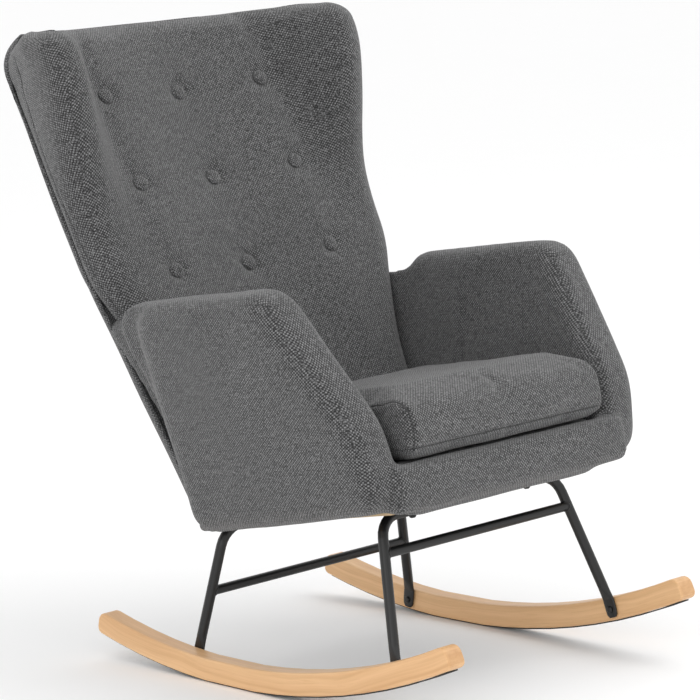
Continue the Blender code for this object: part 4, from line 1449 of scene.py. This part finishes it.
@dataclass
class HiddenPads:
    """The deck under the cushion and the padded band behind the rear rail."""

    deck_voxel: float = 0.0065
    band_voxel: float = 0.0032
    rail_cover: float = 0.0022

    def grow_rail(self, node: str, points: np.ndarray) -> np.ndarray:
        """Leaves room for the rail inside the cover that wraps it.

        Args:
            node: the copied solid's name.
            points: its points.

        Returns:
            The moved points.
        """
        if "rail" not in node:
            return points
        middle = (points.min(axis=0) + points.max(axis=0)) / 2
        return points + np.sign(points - middle) * self.rail_cover

    def build(self, deck_cloth: bpy.types.Material, cloth: bpy.types.Material) -> list[bpy.types.Object]:
        """Makes both pads.

        Args:
            deck_cloth: the deck's plain lining.
            cloth: the band's upholstery cloth.

        Returns:
            The deck and the band.
        """
        made = []
        for node, inside, name, voxel, finish, slot in (
            ("seat_deck_pad", [], "seat_deck_cover", self.deck_voxel, deck_cloth, Slot.DECK),
            ("rear_base_pad", ["seat_rear_rail"], "rear_base_cover", self.band_voxel, cloth, Slot.CLOTH),
        ):
            piece = cast_of(name, [node, *inside], self.grow_rail)
            remesh(piece, voxel, 4)
            ripple(piece, 14.0, 0.0012, 2.2)
            dress(piece, finish)
            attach(piece, CHAIR)
            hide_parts(node)
            made.append(piece)
        return made


@dataclass
class DustLining:
    """The thin lining stapled under the seat, which sags a little between the leg frames."""

    node: str = "dust_cover"
    thickness: float = 0.0007
    sag: float = 0.0045
    sag_from: float = 0.28
    sag_run: float = 0.56
    sag_to: float = 0.84
    steps: int = 40
    below: float = 0.0001
    staple_gap: float = 0.030
    staple_inset: float = 0.010
    staple_wire: float = 0.00035

    def build(self, lining: bpy.types.Material, steel: bpy.types.Material) -> list[bpy.types.Object]:
        """Makes the lining and its staples.

        Args:
            lining: the lining's finish.
            steel: the staples' finish.

        Returns:
            The lining and its staples.
        """
        solid = into(AXES.seat.inverted(), points_of(frame["nodes"][self.node]))
        low, high = solid.min(axis=0), solid.max(axis=0)
        mesh = bpy.data.meshes.new("dust_lining_sheet")
        work = bmesh.new()
        layers = []
        for level in (high[2] - self.below, high[2] - self.below - self.thickness):
            rows = []
            for j in range(self.steps + 1):
                row = []
                for i in range(self.steps + 1):
                    across, along = i / self.steps, j / self.steps
                    hang = 0.0
                    if self.sag_from < along < self.sag_to:
                        dip = math.sin(math.pi * (along - self.sag_from) / self.sag_run)
                        hang = math.sin(math.pi * across) * max(0.0, dip)
                    x = low[0] + (high[0] - low[0]) * across
                    y = low[1] + (high[1] - low[1]) * along
                    row.append(work.verts.new(AXES.seat @ Vector((x, y, level - self.sag * hang))))
                rows.append(row)
            layers.append(rows)
        last = self.steps
        for rows in layers:
            for j in range(last):
                for i in range(last):
                    work.faces.new((rows[j][i], rows[j][i + 1], rows[j + 1][i + 1], rows[j + 1][i]))
        rim = [(0, i) for i in range(last)] + [(j, last) for j in range(last)]
        rim += [(last, last - i) for i in range(last)] + [(last - j, 0) for j in range(last)]
        for (a, b), (c, d) in zip(rim, rim[1:] + rim[:1]):
            work.faces.new((layers[0][a][b], layers[0][c][d], layers[1][c][d], layers[1][a][b]))
        bmesh.ops.recalc_face_normals(work, faces=work.faces)
        work.to_mesh(mesh)
        work.free()
        sheet = new_piece("dust_lining_sheet", mesh)
        dress(sheet, lining)
        staples = self.staples(low, high)
        dress(staples, steel)
        for piece in (sheet, staples):
            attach(piece, CHAIR)
        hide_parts(self.node)
        return [sheet, staples]

    def staples(self, low: np.ndarray, high: np.ndarray) -> bpy.types.Object:
        """The row of staples along the lining's edges.

        Args:
            low: the lining's lowest corner, in the seat's axes.
            high: its highest corner.

        Returns:
            The staples, as one piece.
        """
        lines = []
        level = high[2] - 0.0004 - self.thickness
        inset = self.staple_inset
        spots = []
        for y in np.arange(low[1] + 0.03, high[1] - 0.02, self.staple_gap):
            spots += [(low[0] + inset, y, 0.0), (high[0] - inset, y, 0.0)]
        for x in np.arange(low[0] + 0.03, high[0] - 0.02, self.staple_gap):
            spots += [(x, low[1] + inset, 1.0), (x, high[1] - inset, 1.0)]
        for x, y, across in spots:
            ends = [(-0.005, 0.0006), (-0.005, 0.0), (0.005, 0.0), (0.005, 0.0006)]
            line = [AXES.seat @ Vector((x + a * across, y + a * (1 - across), level + b)) for a, b in ends]
            lines.append(np.array([list(point) for point in line]))
        return cord_along("lining_staples", lines, self.staple_wire, 6)


# ------------------------------------------------------------------ metalwork
@dataclass
class FrameDetails:
    """Weld beads where the stretchers meet the legs."""

    bead: float = 0.0015
    inward: float = 0.12

    def weld(self, end: str, side: Side) -> np.ndarray:
        """The line of a bead round one end of a stretcher.

        Args:
            end: front or rear.
            side: which side of the chair.

        Returns:
            Rows of points round the joint.
        """
        solid = points_of(frame["nodes"][f"{end}_stretcher"])
        legs = skin_of(frame["nodes"][f"{end}_leg_frame"])
        centre = (solid.min(axis=0) + solid.max(axis=0)) / 2
        radius = (solid[:, 2].max() - solid[:, 2].min()) / 2 * 0.99
        line = []
        for k in range(37):
            angle = 2 * math.pi * k / 36
            start = Vector((0.0, centre[1] + radius * math.cos(angle), centre[2] + radius * math.sin(angle)))
            start += Vector((side.value * self.inward, 0.0, 0.0))
            hit = legs.ray_cast(start, Vector((side.value, 0.0, 0.0)))[0]
            if hit:
                line.append(np.array(hit))
        return np.array(line)

    def build(self, coat: bpy.types.Material) -> list[bpy.types.Object]:
        """Makes the weld beads.

        Args:
            coat: the powder coat over them.

        Returns:
            The four beads.
        """
        made = []
        for end in ("front", "rear"):
            for side in Side:
                piece = cord_along(f"{end}_weld_{side.word}", [self.weld(end, side)], self.bead, 8)
                dress(piece, coat)
                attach(piece, CHAIR)
                made.append(piece)
        return made


# ------------------------------------------------------------------ studio
@dataclass
class Studio:
    """A pale floor, soft lights and the camera."""

    camera_place: tuple[float, float, float] = (-3.14208, -3.58084, 0.95778)
    yaw: float = math.radians(41.0734)
    down: float = math.radians(5.5725)
    roll: float = math.radians(-6.5795)
    lens: float = 158.495
    shift: tuple[float, float] = (0.0032, -0.0012)
    floor_size: float = 120.0
    aim: tuple[float, float, float] = (0.0, 0.0, 0.5)
    sky: float = 1.02

    def floor(self) -> bpy.types.Object:
        """The pale floor under the chair.

        Returns:
            The floor, staged.
        """
        mesh = bpy.data.meshes.new("studio_floor")
        half = self.floor_size / 2
        corners = [(-half, -half, 0.0), (half, -half, 0.0), (half, half, 0.0), (-half, half, 0.0)]
        mesh.from_pydata(corners, [], [(0, 1, 2, 3)])
        piece = new_piece("studio_floor", mesh)
        white = Plain("studio_white", colour=(0.97, 0.97, 0.97), second=(0.95, 0.95, 0.95), scale=3.0, speck=40.0,
                      roughness=0.9, spread=0.05, relief=0.0001)
        dress(piece, white.make())
        return piece

    def lamp(self, name: str, place: tuple[float, float, float], size: float, power: float) -> None:
        """A square soft light that looks at the chair.

        Args:
            name: its name.
            place: where it hangs.
            size: its side.
            power: its power in watts.
        """
        light = bpy.data.lights.new(name, "AREA")
        light.size = size
        light.energy = power
        lamp = bpy.data.objects.new(name, light)
        bpy.context.scene.collection.objects.link(lamp)
        lamp.location = place
        aim = Vector(self.aim) - Vector(place)
        lamp.rotation_euler = aim.to_track_quat("-Z", "Y").to_euler()

    def camera(self) -> bpy.types.Object:
        """The camera, placed in the level axes and carried with them.

        Returns:
            The camera.
        """
        data = bpy.data.cameras.new("studio_camera")
        data.lens = self.lens
        data.sensor_width = 36.0
        data.shift_x, data.shift_y = self.shift
        data.clip_end = 200.0
        made = bpy.data.objects.new("studio_camera", data)
        bpy.context.scene.collection.objects.link(made)
        ahead = Vector((math.sin(self.yaw) * math.cos(self.down), math.cos(self.yaw) * math.cos(self.down),
                        -math.sin(self.down)))
        right = ahead.cross(Vector((0.0, 0.0, 1.0))).normalized()
        up = right.cross(ahead)
        right, up = (right * math.cos(self.roll) + up * math.sin(self.roll),
                     up * math.cos(self.roll) - right * math.sin(self.roll))
        turn = Matrix((right, up, -ahead)).transposed().to_4x4()
        made.matrix_world = AXES.level @ Matrix.Translation(self.camera_place) @ turn
        bpy.context.scene.camera = made
        return made

    def build(self) -> None:
        """Sets the studio up."""
        self.floor()
        self.camera()
        self.lamp("key_light", (1.6, -2.6, 4.2), 3.0, 60.0)
        self.lamp("fill_light", (-4.0, -2.6, 2.0), 3.0, 40.0)
        world = bpy.data.worlds.new("studio_world")
        bpy.context.scene.world = world
        world.use_nodes = True
        sky = world.node_tree.nodes["Background"]
        sky.inputs["Color"].default_value = (1.0, 1.0, 1.0, 1.0)
        sky.inputs["Strength"].default_value = self.sky
        bpy.context.scene.view_settings.view_transform = "Standard"


# ------------------------------------------------------------------ the frame's own solids
@dataclass
class FrameFinishes:
    """Finishes for the solids that stay as they are."""

    arc: tuple[float, float]

    def finish_of(self, slot: str) -> Finish:
        """The finish of a record's material slot.

        Args:
            slot: the slot's name.

        Returns:
            The finish for it.
        """
        known: dict[str, Finish] = {
            "rocker_wood": BentWood("lacquered_hardwood", centre=self.arc),
            "frame_timber": Plain("raw_timber", colour=(0.60, 0.45, 0.28), second=(0.46, 0.32, 0.18),
                                  stretch=(0.15, 1.0, 1.0), scale=90.0, roughness=0.75),
            "strip_rubber": Plain("strip_rubber", colour=(0.018, 0.018, 0.018), second=(0.035, 0.035, 0.035),
                                  scale=200.0, roughness=0.8, relief=0.0004),
            "black_steel": Plain("black_powder_coat", colour=(0.004, 0.004, 0.004), second=(0.008, 0.008, 0.008),
                                 scale=50.0, speck=1500.0, roughness=0.38, spread=0.12, relief=0.00012),
            "zinc_plate": Plain("zinc_plate", colour=(0.62, 0.62, 0.60), second=(0.48, 0.48, 0.47), scale=120.0,
                                roughness=0.35, metallic=1.0),
            "elastic_webbing": Cloth("elastic_webbing", dark=(0.10, 0.08, 0.06), light=(0.26, 0.21, 0.16),
                                     thread=0.0018, sheen=0.05),
            "deck_pad": Cloth("deck_lining", dark=(0.05, 0.05, 0.05), light=(0.12, 0.12, 0.12), thread=0.0009),
            "grey_linen": Cloth("grey_linen"),
            "dust_lining": Cloth("dust_lining", dark=(0.010, 0.010, 0.010), light=(0.026, 0.026, 0.026),
                                 thread=0.0008, sheen=0.0),
        }
        return known[slot]

    def dress_all(self) -> dict[str, bpy.types.Material]:
        """Gives every solid its finish.

        Returns:
            The materials by slot.
        """
        slots = {entry["node"]: entry["material_slot"] for entry in frame["record"]["subparts"]}
        made = {slot: self.finish_of(slot).make() for slot in sorted(set(slots.values()))}
        for node, solid in frame["nodes"].items():
            for holder in solid.material_slots:
                holder.material = made[slots[node]]
        return made


def main() -> None:
    """Builds every piece round the frame and reports each one."""
    logging.basicConfig(level=logging.INFO, format="%(name)s: %(message)s")
    centre = AXES.level @ Vector((0.0, 0.0, AXES.arc_radius))
    finishes = FrameFinishes(arc=(centre.y, centre.z)).dress_all()
    upright = Cloth("grey_linen_arms").make()
    seat_cloth = Cloth("grey_linen_seat", turn=AXES.seat_pitch + AXES.lean).make()
    back_cloth = Cloth("grey_linen_back", turn=AXES.back_recline + AXES.lean).make()
    # The seam cords' cloth is far darker than the linen: it stands for the stitching line and paints the shade in
    # the seam grooves.
    thread = Cloth("seam_thread", dark=(0.020, 0.020, 0.021), light=(0.055, 0.055, 0.056), thread=0.0009).make()
    made: list[bpy.types.Object] = []
    made += SeatCushion().build(seat_cloth, thread)
    made += ArmTub().build(upright)
    made += BackCover().build(back_cloth, thread)
    made += TuftButtons().build(back_cloth)
    made += InnerBoards().build(finishes["frame_timber"])
    made += HiddenPads().build(finishes["deck_pad"], seat_cloth)
    made += DustLining().build(finishes["dust_lining"], finishes["zinc_plate"])
    made += FrameDetails().build(finishes["black_steel"])
    for piece in made:
        log.info("%s: %d faces", piece.name, len(piece.data.polygons))
    Studio().build()


if __name__ == "__main__":
    main()
